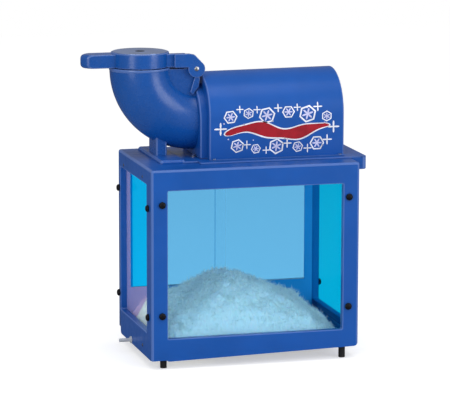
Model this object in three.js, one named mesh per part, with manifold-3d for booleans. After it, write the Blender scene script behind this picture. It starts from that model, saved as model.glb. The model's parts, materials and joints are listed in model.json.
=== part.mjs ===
// Countertop ice shaver: windowed cabinet, elbow hopper with a hinged pusher, motor-driven cutter.
// Millimetres, +Z up. While it is built, X runs right along the front wall from its left edge,
// Y runs back from the front wall and Z rises from the table. The finished group is moved so that
// its origin is the centre of its footprint, at the height of the table.

import * as THREE from 'three';
import { mergeVertices } from 'three/addons/utils/BufferGeometryUtils.js';
import Module from 'manifold-3d';

const wasm = await Module();
wasm.setup();

// Shared clearances and wall sizes
const fitGap = 0.3;
const overrun = 2;
const sheet = 2;
const paneThickness = 3;
const half = 0.5;
const quarterTurn = Math.PI / 2;

// Cabinet
const cabinetWidth = 480;
const cabinetDepth = 314;
const cabinetHeight = 420;
const rightClearance = 29;
const drainFall = 12;
const wallDepth = 15;
const edgeRadius = 5;
const skirtCornerLeft = 5;
const skirtCornerRight = 12;
const sideSkirtLift = 3;
const rearNotchRise = 36;
const rearCornerRadius = 12;

// Window openings, measured in from the wall's edges
const frontSideBand = 37.6;
const frontHeadBand = 47;
const frontSillBand = 40;
const sideFrontBand = 46;
const sideRearBand = 13;
const sideHeadBand = 37.5;
const sideSillBand = 47.5;
const rearLeftBand = 30;
const rearRightBand = 37.5;
const rearHeadBand = 34;
const rearSillBand = 96.5;
const frontPaneLap = 20;
const sidePaneLap = 24;
const paneHeadLap = 14;

// Window knobs, each one solid with its stud and inner nut
const knobRadius = 8;
const knobHeight = 7;
const knobCrownShares = [0.8, 0.85];
const studRadius = 3;
const nutRadius = 5;
const nutThickness = 2.7;
const frontKnobInset = 24.5;
const frontKnobDrop = 30.6;
const frontKnobRise = 52.4;
const sideKnobInset = 27.5;
const sideKnobRearInset = 6.6;
const sideKnobDrop = 50.5;
const sideKnobRise = 38.5;

// Sliding doors and their tracks, one groove for each door and a rib on both sides of it
const doorCount = 2;
const trackRib = 1;
const grooveDepth = 5;
const lowerTrackHeight = 13;
const upperTrackHeight = 18;
const liftOut = 4;
const doorOverlap = 12;
const doorEndGap = 3;
const doorPull = 6;
const doorPullShares = [1 / 3, 2 / 3];

// Legs and floor
const legRadius = 7.5;
const legInsetX = 32;
const legInsetY = 21.6;
const floorLip = 12;

// Drain
const drainFromFront = 193;
const drainRise = 28;
const drainFlangeRadius = 8;
const drainFlangeThickness = 3;
const drainBarrelRadius = 5;
const drainBarrelLength = 9;
const drainBore = 3;
const spoutRadius = 4.2;
const spoutLength = 25;

// Shaved ice: its ridge runs left to right, and falls off to the front and the back
const heapClearance = 4;
const heapPeak = 163;
const heapRidgeFromFront = 165;
const heapEdgeShare = 0.42;
const heapLumps = 5;
const heapLumpSpacing = 37;
const heapLumpCrowding = 2;
const heapClods = 4.5;
const heapClodSpacing = 11;
const heapClodDrift = 23;
const heapRidgeShares = [
  [0.02, 0.30], [0.08, 0.53], [0.155, 0.74], [0.22, 0.78], [0.28, 0.86], [0.40, 1.0],
  [0.455, 0.985], [0.51, 0.94], [0.585, 0.875], [0.655, 0.775], [0.715, 0.65], [0.79, 0.58],
  [0.82, 0.46], [0.875, 0.325], [0.92, 0.23], [0.98, 0.12],
];

// Head: hinge pin, elbow hopper and cutter share one upright mid plane
const headRearInset = 124;
const headMid = cabinetDepth - headRearInset;
const pinFromLeft = 140;
const pinRise = 203;
const elbowBend = 119;
const elbowRadius = 69.5;
const elbowWall = 5;
const rimHeight = 3;
const rimBead = 1;
const mouthRelief = 0.6;
const footLeft = 41;
const footReach = 108;
const footFront = headMid - footReach;
const footRearInset = 16;
const footBack = cabinetDepth - footRearInset;
const footWidth = 58;
const footHeight = 7.5;
const footLedgeHeight = 3.5;
const pedestalWidth = 33;
const pedestalDepth = 70;
const lugWidth = 76;
const lugBossRadius = 15;
const lugSink = 3;
const gussetWidth = 7;
const gussetSpan = 20;
const gussetClearance = 1.5;

// Base plate under motor and cutter, with the wing that hangs past the right wall
const plateThickness = 3;
const plateLeft = 128;
const plateReach = 130;
const plateFront = headMid - plateReach;
const plateRearInset = 14;
const plateBack = cabinetDepth - plateRearInset;
const wingOverhang = 28;
const wingDrop = 30;
const wingCorner = 12;

// Cutter housing and its discharge
const discOverlap = 1.5;
const discRadius = elbowRadius - elbowWall + discOverlap;
const housingClearance = 2;
const housingBore = discRadius + housingClearance;
const housingRim = 12;
const housingRadius = housingBore + housingRim;
const housingLength = 42;
const housingLip = 4;
const housingWall = 4;
const slotWidth = 110;
const slotLength = 20;
const chuteWall = 1.5;
const chuteDrop = 34;

// Pusher handle
const handleGap = 4;
const handleThickness = 28;
const ringOverhang = 2.5;
const ringLap = 2.2;
const ringRadius = elbowRadius + ringOverhang;
const ringBore = elbowRadius - elbowWall - ringLap;
const gripReach = 136;
const gripHalfWidth = 30;
const armHalfWidth = 50;
const armEndFromPin = 22;
const earWidth = 11;
const earRadius = 19.5;
const earShoulderX = 16;
const earNeckX = 4.5;
const earNeckDrop = 2.6;
const earNose = Math.PI / 6;
const earHeel = 0.93 * Math.PI;
const pinRadius = 5.5;
const handleSwing = THREE.MathUtils.degToRad(84);

// Cap disc and pusher
const capLap = 1.2;
const capRadius = ringBore + capLap;
const capThickness = 6.5;
const capSlotLength = 21;
const capSlotWidth = 5;
const plugThickness = 12;
const hornWeb = 14;
const hornFlange = 10;
const hornFlangeHalfWidth = 30;
const pusherClearance = 3.5;
const pusherRadius = elbowRadius - elbowWall - pusherClearance;
const hornInset = 15;
const hornHalfReach = pusherRadius - hornInset;
const pusherThickness = 8;

// Cutter
const discThickness = 8;
const discSetback = 7.5;
const bladeWidth = 15;
const bladeThickness = 3;
const bladeInner = 17;
const bladeOuterInset = 7;
const bladeLength = discRadius - bladeInner - bladeOuterInset;
const bladeSlot = 7;
const bladeCount = 3;
const nutHubRadius = 11;
const nutHubLength = 5;
const nutHubSides = 6;

// Motor
const shaftRadius = 8;
const shaftClearance = 1;
const motorFront = 205;
const motorTail = 96;
const motorRadius = 72;
const motorWall = 3;
const bellThickness = 10;
const statorSetback = 28;
const statorTail = 42;
const statorBore = 42;
const rotorGap = 1.5;
const fanSetback = 22;
const fanRadius = 60;
const fanHub = 16;
const fanLength = 12;
const fanBlade = 3;
const fanBlades = 6;
const shaftTail = 8;
const cradleInset = 25;
const cradleHalfWidth = 58;
const cradleRise = 40;
const cradleEndWall = 10;
const cradleFloor = 3;

// Motor cover
const coverLeft = 156.6;
const coverRightInset = 9;
const coverRight = cabinetWidth - coverRightInset;
const coverRadius = 98.5;
const coverSpring = 94.5;
const coverSheet = 2;
const coverFlange = 9;
const coverFlangeThickness = 1.5;
const coverScrewInset = 10;
const coverScrewRadius = 2.6;
const screwHeadRadius = 4;
const screwHeadHeight = 2;
const louvreCount = 5;
const louvreWidth = 70;
const louvreHeight = 5;
const louvrePitch = 14;
const louvreRise = 40;

// Switch and cable gland on the operator's side of the cover
const switchFromRight = 55;
const switchRise = 60;
const switchBushRadius = 6.5;
const switchBore = 4.8;
const switchBushLength = 9;
const switchBodyWidth = 24;
const switchBodyHeight = 32;
const switchBodyDepth = 22;
const toggleLength = 18;
const toggleTip = 3.2;
const toggleRoot = 1.8;
const toggleTilt = THREE.MathUtils.degToRad(12);
const glandFromRight = 110;
const glandRise = 30;
const glandRadius = 8;
const glandFlangeRadius = 11;
const glandLength = 16;
const glandBore = 4;

// Facets on round forms
const cornerSides = 4;
const wingSides = 6;
const gripSides = 10;
const earSides = 12;
const knobSides = 8;
const legSides = 16;
const boreSides = 12;
const tubeSides = 18;
const bendSteps = 12;
const ringSides = 36;
const archSides = 24;
const shaftSides = 16;
const heapColumns = 32;
const heapRows = 20;

// Heights and places that follow from the sizes above
const deckTop = rightClearance + cabinetHeight;
const deckUnderside = deckTop - sheet;
const skirtLow = rightClearance - drainFall;
const plateTop = deckTop + fitGap + plateThickness;
const pinZ = deckTop + pinRise;
const axisZ = pinZ - elbowBend;
const inletX = pinFromLeft - elbowBend;
const trackGroove = paneThickness + 2 * fitGap;
const trackDepth = doorCount * (trackGroove + trackRib) + trackRib;
const rearFrameDepth = sheet + fitGap + trackDepth;
const rearFrameY = cabinetDepth - rearFrameDepth;
const frontSill = rightClearance + frontSillBand;
const frontHead = deckTop - frontHeadBand;
const sideSill = rightClearance + sideSillBand;
const sideHead = deckTop - sideHeadBand;
const rearSill = rightClearance + rearSillBand;
const rearHead = deckTop - rearHeadBand;
const slotX = pinFromLeft + fitGap + housingLength - housingWall - slotLength;
const springZ = plateTop + coverSpring;
const motorLength = coverRight - motorTail - motorFront;
const statorLength = motorLength - statorSetback - statorTail;
const cradleLength = motorLength - 2 * cradleInset;
const skirtAt = (x) => skirtLow + drainFall * x / cabinetWidth;

// Materials
const paint = new THREE.MeshStandardMaterial({ color: 0x2d55aa, roughness: 0.35, metalness: 0.1 });
const panePaint = new THREE.MeshStandardMaterial({ color: 0x69b9e8, roughness: 0.1, transparent: true });
const blackPlastic = new THREE.MeshStandardMaterial({ color: 0x18191c, roughness: 0.4 });
const rubber = new THREE.MeshStandardMaterial({ color: 0x121214, roughness: 0.8 });
const satinMetal = new THREE.MeshStandardMaterial({ color: 0xa5a6b0, roughness: 0.4, metalness: 0.9 });
const darkSteel = new THREE.MeshStandardMaterial({ color: 0x55585e, roughness: 0.5, metalness: 0.8 });
const milkyPlastic = new THREE.MeshStandardMaterial({ color: 0xc9ccd2, roughness: 0.5 });
const iceWhite = new THREE.MeshStandardMaterial({ color: 0xe8f4fa, roughness: 0.7 });

// Solids: a closed geometry becomes a boolean solid, and comes back as a geometry
function solidOf(geometry) {
  const bare = geometry.clone();
  bare.deleteAttribute('normal');
  bare.deleteAttribute('uv');
  const merged = mergeVertices(bare);
  const vertProperties = new Float32Array(merged.attributes.position.array);
  const triVerts = new Uint32Array(merged.index.array);
  return new wasm.Manifold(new wasm.Mesh({ numProp: 3, vertProperties, triVerts }));
}

function geometryOf(solid) {
  const mesh = solid.getMesh();
  const geometry = new THREE.BufferGeometry();
  const position = new THREE.BufferAttribute(new Float32Array(mesh.vertProperties), 3);
  geometry.setAttribute('position', position);
  geometry.setIndex(Array.from(mesh.triVerts));
  return geometry;
}

const joined = (first, ...others) => others.reduce((sum, next) => sum.add(solidOf(next)), solidOf(first));

function carved(solid, ...tools) {
  return tools.reduce((left, tool) => left.subtract(solidOf(tool)), solid);
}

// A box from its lowest to its highest corner
function block(low, high) {
  const size = new THREE.Vector3(...high).sub(new THREE.Vector3(...low));
  const middle = new THREE.Vector3(...low).addScaledVector(size, half);
  return new THREE.BoxGeometry(size.x, size.y, size.z).translate(middle.x, middle.y, middle.z);
}

// A shape drawn in X and Y, carried up along Z
function alongZ(shape, low, high, curveSegments = archSides) {
  const options = { depth: high - low, bevelEnabled: false, curveSegments };
  return new THREE.ExtrudeGeometry(shape, options).translate(0, 0, low);
}

// A shape drawn in X and Z, carried back along Y
function alongY(shape, low, high, curveSegments = archSides) {
  const options = { depth: high - low, bevelEnabled: false, curveSegments };
  return new THREE.ExtrudeGeometry(shape, options).rotateX(Math.PI / 2).translate(0, high, 0);
}

// A shape drawn in Y and Z, carried right along X
function alongX(shape, low, high, curveSegments = archSides) {
  const options = { depth: high - low, bevelEnabled: false, curveSegments };
  const turn = new THREE.Matrix4().makeBasis(
    new THREE.Vector3(0, 1, 0), new THREE.Vector3(0, 0, 1), new THREE.Vector3(1, 0, 0));
  return new THREE.ExtrudeGeometry(shape, options).applyMatrix4(turn).translate(low, 0, 0);
}

// The radius at the corners of a round hole's polygon whose flats clear a given radius
const outside = (radius, sides) => radius / Math.cos(Math.PI / sides);

// Round rods along each axis; place gives the two coordinates across the rod
function rodX(place, radius, low, high, sides) {
  const rod = new THREE.CylinderGeometry(radius, radius, high - low, sides).rotateZ(-Math.PI / 2);
  return rod.translate((low + high) * half, place[0], place[1]);
}

function rodY(place, radius, low, high, sides) {
  const rod = new THREE.CylinderGeometry(radius, radius, high - low, sides);
  return rod.translate(place[0], (low + high) * half, place[1]);
}

function rodZ(place, radius, low, high, sides) {
  const rod = new THREE.CylinderGeometry(radius, radius, high - low, sides).rotateX(Math.PI / 2);
  return rod.translate(place[0], place[1], (low + high) * half);
}

// A turned form about Z from [radius, height] pairs, which run upwards on the outside
function turned(profile, sides) {
  const points = profile.map(([radius, height]) => new THREE.Vector2(radius, height));
  return new THREE.LatheGeometry(points, sides).rotateX(Math.PI / 2);
}

function outline(points) {
  return new THREE.Shape(points.map(([u, v]) => new THREE.Vector2(u, v)));
}

function circle(u, v, radius) {
  return new THREE.Shape().absarc(u, v, radius, 0, 2 * Math.PI, false);
}

// An arch: straight sides up from the bottom, and a half circle from the spring line
function arch(middle, spring, radius, bottom) {
  const shape = new THREE.Shape();
  shape.moveTo(middle - radius, bottom);
  shape.lineTo(middle + radius, bottom);
  shape.lineTo(middle + radius, spring);
  shape.absarc(middle, spring, radius, 0, Math.PI, false);
  shape.lineTo(middle - radius, bottom);
  return shape;
}

// Pieces are collected in groups that come apart together
const machine = new THREE.Group();
const cabinet = new THREE.Group();
const head = new THREE.Group();
const handle = new THREE.Group();
const rotor = new THREE.Group();
machine.add(cabinet, head, handle, rotor);

function addPiece(group, name, geometry, material) {
  const mesh = new THREE.Mesh(geometry, material);
  mesh.name = name;
  group.add(mesh);
  return mesh;
}

// Where the window knobs stand: across and up on the front wall, back and up on the side walls
const frontKnobs = [frontKnobInset, cabinetWidth - frontKnobInset].flatMap(
  (x) => [frontHead - frontKnobDrop, frontSill + frontKnobRise].map((z) => [x, z]));
const sideKnobHeights = [sideHead - sideKnobDrop, sideSill + sideKnobRise];
const sideKnobs = [sideKnobInset, cabinetDepth - sideKnobRearInset].flatMap(
  (y) => sideKnobHeights.map((z) => [y, z]));
const studHole = outside(studRadius + fitGap, boreSides);

function frontFrame() {
  const right = cabinetWidth;
  const plan = new THREE.Shape();
  plan.moveTo(0, wallDepth);
  plan.lineTo(0, edgeRadius);
  plan.absarc(edgeRadius, edgeRadius, edgeRadius, Math.PI, 3 * quarterTurn, false);
  plan.absarc(right - edgeRadius, edgeRadius, edgeRadius, -quarterTurn, 0, false);
  plan.lineTo(right, wallDepth);
  plan.lineTo(right - sheet, wallDepth);
  plan.absarc(right - edgeRadius, edgeRadius, edgeRadius - sheet, 0, -quarterTurn, true);
  plan.absarc(edgeRadius, edgeRadius, edgeRadius - sheet, 3 * quarterTurn, Math.PI, true);
  plan.lineTo(sheet, wallDepth);
  const wall = solidOf(alongZ(plan, skirtLow - overrun, deckUnderside - fitGap, cornerSides));
  const face = new THREE.Shape();
  face.moveTo(-overrun, deckTop);
  face.lineTo(-overrun, skirtLow + skirtCornerLeft);
  face.lineTo(0, skirtLow + skirtCornerLeft);
  face.quadraticCurveTo(0, skirtLow, skirtCornerLeft, skirtLow);
  face.lineTo(right - skirtCornerRight, rightClearance);
  face.quadraticCurveTo(right, rightClearance, right, rightClearance + skirtCornerRight);
  face.lineTo(right + overrun, rightClearance + skirtCornerRight);
  face.lineTo(right + overrun, deckTop);
  const trimmed = wall.intersect(solidOf(alongY(face, -overrun, wallDepth + overrun, cornerSides)));
  const low = [frontSideBand, -overrun, frontSill];
  const high = [right - frontSideBand, wallDepth + overrun, frontHead];
  const flange = block(
    [low[0] - sheet, sheet * half, low[2] - sheet], [high[0] + sheet, wallDepth, high[2] + sheet]);
  const holes = frontKnobs.map(([x, z]) => rodY([x, z], studHole, -overrun, sheet + overrun, boreSides));
  return geometryOf(carved(trimmed.add(solidOf(flange)), block(low, high), ...holes));
}

// The left wall; the right wall is its mirror image with a higher lower edge
function sideFrame(bottom) {
  const front = wallDepth + fitGap;
  const cornerY = rearFrameY - rearCornerRadius;
  const side = new THREE.Shape();
  side.moveTo(front, deckUnderside - fitGap);
  side.lineTo(front, bottom);
  side.lineTo(cornerY, bottom);
  side.quadraticCurveTo(rearFrameY, bottom, rearFrameY, bottom + rearCornerRadius);
  side.lineTo(rearFrameY, Math.max(rearNotchRise, bottom + rearCornerRadius));
  side.lineTo(cabinetDepth, Math.max(rearNotchRise, bottom + rearCornerRadius));
  side.lineTo(cabinetDepth, deckUnderside - fitGap);
  const low = [-overrun, sideFrontBand, sideSill];
  const high = [wallDepth + overrun, cabinetDepth - sideRearBand, sideHead];
  const flange = block(
    [sheet * half, low[1] - sheet, low[2] - sheet], [wallDepth, high[1] + sheet, high[2] + sheet]);
  const rearStrip = block(
    [sheet * half, cabinetDepth - sheet, rearNotchRise + rearCornerRadius],
    [wallDepth, cabinetDepth, deckUnderside - fitGap]);
  const holes = sideKnobs.map(([y, z]) => rodX([y, z], studHole, -overrun, sheet + overrun, boreSides));
  const wall = joined(alongX(side, 0, sheet, cornerSides), flange, rearStrip);
  return carved(wall, block(low, high), ...holes);
}

function rearFrame() {
  const low = [wallDepth + fitGap, rearFrameY, rearNotchRise];
  const high = [cabinetWidth - wallDepth - fitGap, rearFrameY + sheet, deckUnderside - fitGap];
  const opening = block(
    [rearLeftBand, rearFrameY - overrun, rearSill],
    [cabinetWidth - rearRightBand, rearFrameY + sheet + overrun, rearHead]);
  return geometryOf(carved(solidOf(block(low, high)), opening));
}

function topDeck() {
  const plan = new THREE.Shape();
  plan.moveTo(0, cabinetDepth);
  plan.lineTo(0, edgeRadius);
  plan.absarc(edgeRadius, edgeRadius, edgeRadius, Math.PI, 3 * quarterTurn, false);
  plan.absarc(cabinetWidth - edgeRadius, edgeRadius, edgeRadius, -quarterTurn, 0, false);
  plan.lineTo(cabinetWidth, cabinetDepth);
  const sheetMetal = solidOf(alongZ(plan, deckUnderside, deckTop, cornerSides));
  return geometryOf(carved(sheetMetal, dischargeCut()));
}

// The slot through which the ice falls
function dischargeCut() {
  return block(
    [slotX, headMid - slotWidth * half, deckUnderside - chuteDrop - overrun],
    [slotX + slotLength, headMid + slotWidth * half, axisZ]);
}

function floorPan() {
  const left = Math.max(edgeRadius, sheet + fitGap);
  const right = cabinetWidth - left;
  const front = sheet + fitGap;
  const back = rearFrameY - fitGap;
  const tray = outline([
    [left, skirtAt(left)], [right, skirtAt(right)],
    [right, skirtAt(right) + floorLip], [left, skirtAt(left) + floorLip],
  ]);
  const hollow = outline([
    [left + sheet, skirtAt(left) + sheet], [right - sheet, skirtAt(right) + sheet],
    [right - sheet, deckTop], [left + sheet, deckTop],
  ]);
  const outer = solidOf(alongY(tray, front, back));
  return geometryOf(carved(outer, alongY(hollow, front + sheet, back - sheet), drainHole()));
}

const drainHole = () => rodX(
  [drainFromFront, drainRise], outside(drainBarrelRadius + fitGap, boreSides),
  -overrun, drainBarrelLength + overrun, boreSides);

function frontPane() {
  const low = [frontSideBand - frontPaneLap, wallDepth + fitGap, frontSill - paneHeadLap];
  const high = [
    cabinetWidth - frontSideBand + frontPaneLap, wallDepth + fitGap + paneThickness,
    frontHead + paneHeadLap];
  const holes = frontKnobs.map(
    ([x, z]) => rodY([x, z], studHole, wallDepth, high[1] + overrun, boreSides));
  return geometryOf(carved(solidOf(block(low, high)), ...holes));
}

function sidePane() {
  const low = [wallDepth + fitGap, sideFrontBand - sidePaneLap, sideSill - paneHeadLap];
  const high = [wallDepth + fitGap + paneThickness, rearFrameY - fitGap, sideHead + paneHeadLap];
  const holes = sideKnobHeights.map(
    (z) => rodX([sideKnobInset, z], studHole, wallDepth, high[0] + overrun, boreSides));
  return geometryOf(carved(solidOf(block(low, high)), ...holes));
}

// A domed knob, its stud and the nut on the stud's inner end; the dome points along +Z
function knob(studLength, endRadius) {
  const shoulder = knobHeight * half;
  const [crownAcross, crownUp] = knobCrownShares;
  return turned([
    [0, -studLength], [endRadius, -studLength], [endRadius, nutThickness - studLength],
    [studRadius, nutThickness - studLength], [studRadius, fitGap], [knobRadius, fitGap],
    [knobRadius, shoulder], [knobRadius * crownAcross, knobHeight * crownUp], [0, knobHeight],
  ], knobSides);
}

function addKnobs() {
  const clampLength = wallDepth + 2 * fitGap + paneThickness + nutThickness;
  const blindLength = wallDepth - sheet;
  frontKnobs.forEach(([x, z], index) => {
    const mesh = addPiece(cabinet, `front_knob_${index + 1}`, knob(clampLength, nutRadius), blackPlastic);
    mesh.position.set(x, 0, z);
    mesh.rotation.x = quarterTurn;
  });
  const sides = [['left', 0, -quarterTurn], ['right', cabinetWidth, quarterTurn]];
  sides.forEach(([side, x, turn]) => sideKnobs.forEach(([y, z], index) => {
    const clamps = y === sideKnobInset;
    const form = clamps ? knob(clampLength, nutRadius) : knob(blindLength, studRadius + fitGap);
    const mesh = addPiece(cabinet, `${side}_knob_${index + 1}`, form, blackPlastic);
    mesh.position.set(x, y, z);
    mesh.rotation.y = turn;
  }));
}

// A bar with its grooves side by side; the lower track opens upwards and the upper one downwards
function doorTrack(bottom, height, openUp) {
  const front = rearFrameY + sheet + fitGap;
  const bar = block(
    [wallDepth + fitGap, front, bottom],
    [cabinetWidth - wallDepth - fitGap, front + trackDepth, bottom + height]);
  const reach = openUp ? [bottom + height - grooveDepth, bottom + height + overrun]
    : [bottom - overrun, bottom + grooveDepth + liftOut];
  const cuts = Array.from({ length: doorCount }, (_, index) => {
    const low = front + trackRib + index * (trackRib + trackGroove);
    return block([0, low, reach[0]], [cabinetWidth, low + trackGroove, reach[1]]);
  });
  return geometryOf(carved(solidOf(bar), ...cuts));
}

// A sliding door with a pull lip turned back at its outer edge; index 0 runs in the front groove
function slidingDoor(index) {
  const front = rearFrameY + sheet + 2 * fitGap + trackRib + index * (trackRib + trackGroove);
  const middle = cabinetWidth * half;
  const left = index ? middle - doorOverlap : wallDepth + doorEndGap;
  const right = index ? cabinetWidth - wallDepth - doorEndGap : middle + doorOverlap;
  const bottom = rearSill - grooveDepth + fitGap;
  const top = rearHead + grooveDepth;
  const pane = block([left, front, bottom], [right, front + paneThickness, top]);
  const lipLeft = index ? right - paneThickness : left;
  const [lipBottom, lipTop] = doorPullShares.map((share) => THREE.MathUtils.lerp(bottom, top, share));
  const lip = block(
    [lipLeft, front + fitGap, lipBottom],
    [lipLeft + paneThickness, front + paneThickness + doorPull, lipTop]);
  return geometryOf(joined(pane, lip));
}

// The heap's surface above the floor pan
function ridge(share) {
  const last = heapRidgeShares.length - 1;
  const next = heapRidgeShares.findIndex(([place]) => place > share);
  if (next === 0) return heapRidgeShares[0][1];
  if (next < 0) return heapRidgeShares[last][1];
  const [x0, h0] = heapRidgeShares[next - 1];
  const [x1, h1] = heapRidgeShares[next];
  return THREE.MathUtils.lerp(h0, h1, (share - x0) / (x1 - x0));
}

function heapHeight(x, y, front, back) {
  const reach = y < heapRidgeFromFront ? heapRidgeFromFront - front : back - heapRidgeFromFront;
  const away = (y - heapRidgeFromFront) / reach;
  const fall = 1 - (1 - heapEdgeShare) * away * away;
  const lump = heapLumps * Math.sin(x / heapLumpSpacing) * Math.cos(heapLumpCrowding * y / heapLumpSpacing);
  const turn = x / heapClodSpacing + Math.sin(y / heapClodDrift);
  const clod = heapClods * Math.sin(turn) * Math.cos(y / heapClodSpacing);
  return Math.max(heapPeak * ridge(x / cabinetWidth) * fall + lump + clod, heapLumps);
}

// A closed height field on the sloping floor
function heap() {
  const inner = wallDepth + fitGap + paneThickness + heapClearance;
  const front = inner;
  const back = rearFrameY - heapClearance;
  const left = inner;
  const right = cabinetWidth - inner;
  const vertices = [];
  for (const upper of [true, false]) {
    for (let row = 0; row <= heapRows; row += 1) {
      for (let column = 0; column <= heapColumns; column += 1) {
        const x = THREE.MathUtils.lerp(left, right, column / heapColumns);
        const y = THREE.MathUtils.lerp(front, back, row / heapRows);
        const floor = skirtAt(x) + sheet + fitGap;
        vertices.push(x, y, upper ? floor + heapHeight(x, y, front, back) : floor);
      }
    }
  }
  const across = heapColumns + 1;
  const layer = across * (heapRows + 1);
  const faces = [];
  const quad = (a, b, c, d) => faces.push(a, b, c, a, c, d);
  for (let row = 0; row < heapRows; row += 1) {
    for (let column = 0; column < heapColumns; column += 1) {
      const start = row * across + column;
      quad(start, start + 1, start + across + 1, start + across);
      quad(layer + start, layer + start + across, layer + start + across + 1, layer + start + 1);
    }
  }
  const rear = heapRows * across;
  for (let column = 0; column < heapColumns; column += 1) {
    quad(layer + column, layer + column + 1, column + 1, column);
    quad(rear + column, rear + column + 1, layer + rear + column + 1, layer + rear + column);
  }
  for (let row = 0; row < heapRows; row += 1) {
    const start = row * across;
    const end = start + heapColumns;
    quad(start, start + across, layer + start + across, layer + start);
    quad(layer + end, layer + end + across, end + across, end);
  }
  const geometry = new THREE.BufferGeometry();
  geometry.setAttribute('position', new THREE.Float32BufferAttribute(vertices, 3));
  geometry.setIndex(faces);
  return geometry;
}

function addCabinet() {
  const mirror = (mesh) => {
    mesh.scale.x = -1;
    mesh.position.x = cabinetWidth;
  };
  const leftWall = carved(sideFrame(skirtLow + sideSkirtLift), drainHole());
  addPiece(cabinet, 'front_frame', frontFrame(), paint);
  addPiece(cabinet, 'left_frame', geometryOf(leftWall), paint);
  mirror(addPiece(cabinet, 'right_frame', geometryOf(sideFrame(rightClearance)), paint));
  addPiece(cabinet, 'rear_frame', rearFrame(), paint);
  addPiece(cabinet, 'top_deck', topDeck(), paint);
  addPiece(cabinet, 'floor_pan', floorPan(), paint);
  addPiece(cabinet, 'front_window', frontPane(), panePaint);
  addPiece(cabinet, 'left_window', sidePane(), panePaint);
  mirror(addPiece(cabinet, 'right_window', sidePane(), panePaint));
  addPiece(cabinet, 'lower_door_track', doorTrack(rearSill - lowerTrackHeight, lowerTrackHeight, true),
    satinMetal);
  addPiece(cabinet, 'upper_door_track', doorTrack(rearHead, upperTrackHeight, false), satinMetal);
  addPiece(cabinet, 'left_door', slidingDoor(0), panePaint);
  addPiece(cabinet, 'right_door', slidingDoor(1), panePaint);
  addPiece(cabinet, 'shaved_ice_heap', heap(), iceWhite);
  addKnobs();
}

function addLegs() {
  const places = [legInsetX, cabinetWidth - legInsetX].flatMap(
    (x) => [legInsetY, rearFrameY - legInsetY].map((y) => [x, y]));
  places.forEach(([x, y], index) => {
    const height = skirtAt(x - legRadius) - fitGap;
    const leg = new THREE.CylinderGeometry(legRadius, legRadius, height, legSides);
    const mesh = addPiece(cabinet, `leg_${index + 1}`, leg.rotateX(quarterTurn), rubber);
    mesh.position.set(x, y, height * half);
  });
}

function addDrain() {
  const face = -fitGap - drainFlangeThickness;
  const fitting = [
    [drainBore, face], [drainFlangeRadius, face], [drainFlangeRadius, -fitGap],
    [drainBarrelRadius, -fitGap], [drainBarrelRadius, drainBarrelLength], [drainBore, drainBarrelLength],
    [drainBore, face],
  ];
  const body = addPiece(cabinet, 'drain_fitting', turned(fitting, legSides), milkyPlastic);
  body.rotation.y = quarterTurn;
  body.position.set(0, drainFromFront, drainRise);
  const spout = [
    [drainBore, 0], [spoutRadius, 0], [spoutRadius, spoutLength], [drainBore, spoutLength], [drainBore, 0],
  ];
  const tube = addPiece(cabinet, 'drain_spout', turned(spout, legSides), milkyPlastic);
  tube.rotation.y = -quarterTurn;
  tube.position.set(face - fitGap, drainFromFront, drainRise);
}

// The bend of the hopper, about the hinge pin: a share of 0 is the inlet and 1 the outlet
class Bend extends THREE.Curve {
  constructor(radius, sweep) {
    super();
    this.radius = radius;
    this.sweep = sweep;
  }

  getPoint(share, target = new THREE.Vector3()) {
    const angle = share * this.sweep;
    return target.set(
      pinFromLeft - this.radius * Math.cos(angle), headMid, pinZ - this.radius * Math.sin(angle));
  }
}

function bentBar(shape, sweep, steps) {
  const extrudePath = new Bend(elbowBend, sweep);
  const options = { steps, bevelEnabled: false, extrudePath, curveSegments: tubeSides };
  return new THREE.ExtrudeGeometry(shape, options);
}

function hopperElbow() {
  const base = deckTop + fitGap;
  const bore = elbowRadius - elbowWall;
  const mouth = bore + mouthRelief;
  const webHalf = lugWidth * half;
  const webReach = elbowBend - Math.sqrt(elbowRadius ** 2 - webHalf ** 2) + lugSink;
  const web = new THREE.Shape();
  web.moveTo(pinFromLeft, pinZ);
  web.lineTo(pinFromLeft - webReach, pinZ);
  web.absarc(pinFromLeft, pinZ, webReach, Math.PI, 3 * quarterTurn, false);
  const gussetTop = pinZ - earRadius - gussetClearance;
  const gusset = outline([
    [pinFromLeft - gussetSpan, gussetTop], [pinFromLeft - gussetWidth, pinZ - webReach],
    [pinFromLeft, gussetTop],
  ]);
  const body = joined(
    bentBar(circle(0, 0, elbowRadius), quarterTurn, bendSteps),
    rodZ([inletX, headMid], elbowRadius + rimBead, pinZ - rimHeight, pinZ + rimHeight, 2 * tubeSides),
    block([footLeft, footFront, base], [footLeft + footWidth, footBack, base + footHeight]),
    block([footLeft, footFront, base], [plateLeft - fitGap, footBack, base + footLedgeHeight]),
    block(
      [footLeft, headMid - pedestalDepth * half, base],
      [footLeft + pedestalWidth, headMid + pedestalDepth * half, axisZ]),
    alongY(web, headMid - webHalf, headMid + webHalf),
    rodY([pinFromLeft, pinZ], lugBossRadius, headMid - webHalf, headMid + webHalf, tubeSides),
    alongY(gusset, headMid - webHalf - gussetWidth, headMid - webHalf + overrun));
  return geometryOf(carved(
    body,
    bentBar(circle(0, 0, bore), quarterTurn, bendSteps),
    rodZ([inletX, headMid], mouth, pinZ - overrun, pinZ + rimHeight + overrun, 2 * tubeSides),
    rodX([headMid, axisZ], mouth, pinFromLeft - overrun, pinFromLeft + overrun, 2 * tubeSides),
    rodY([pinFromLeft, pinZ], outside(pinRadius + fitGap, boreSides), 0, 2 * headMid, boreSides)));
}

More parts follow.
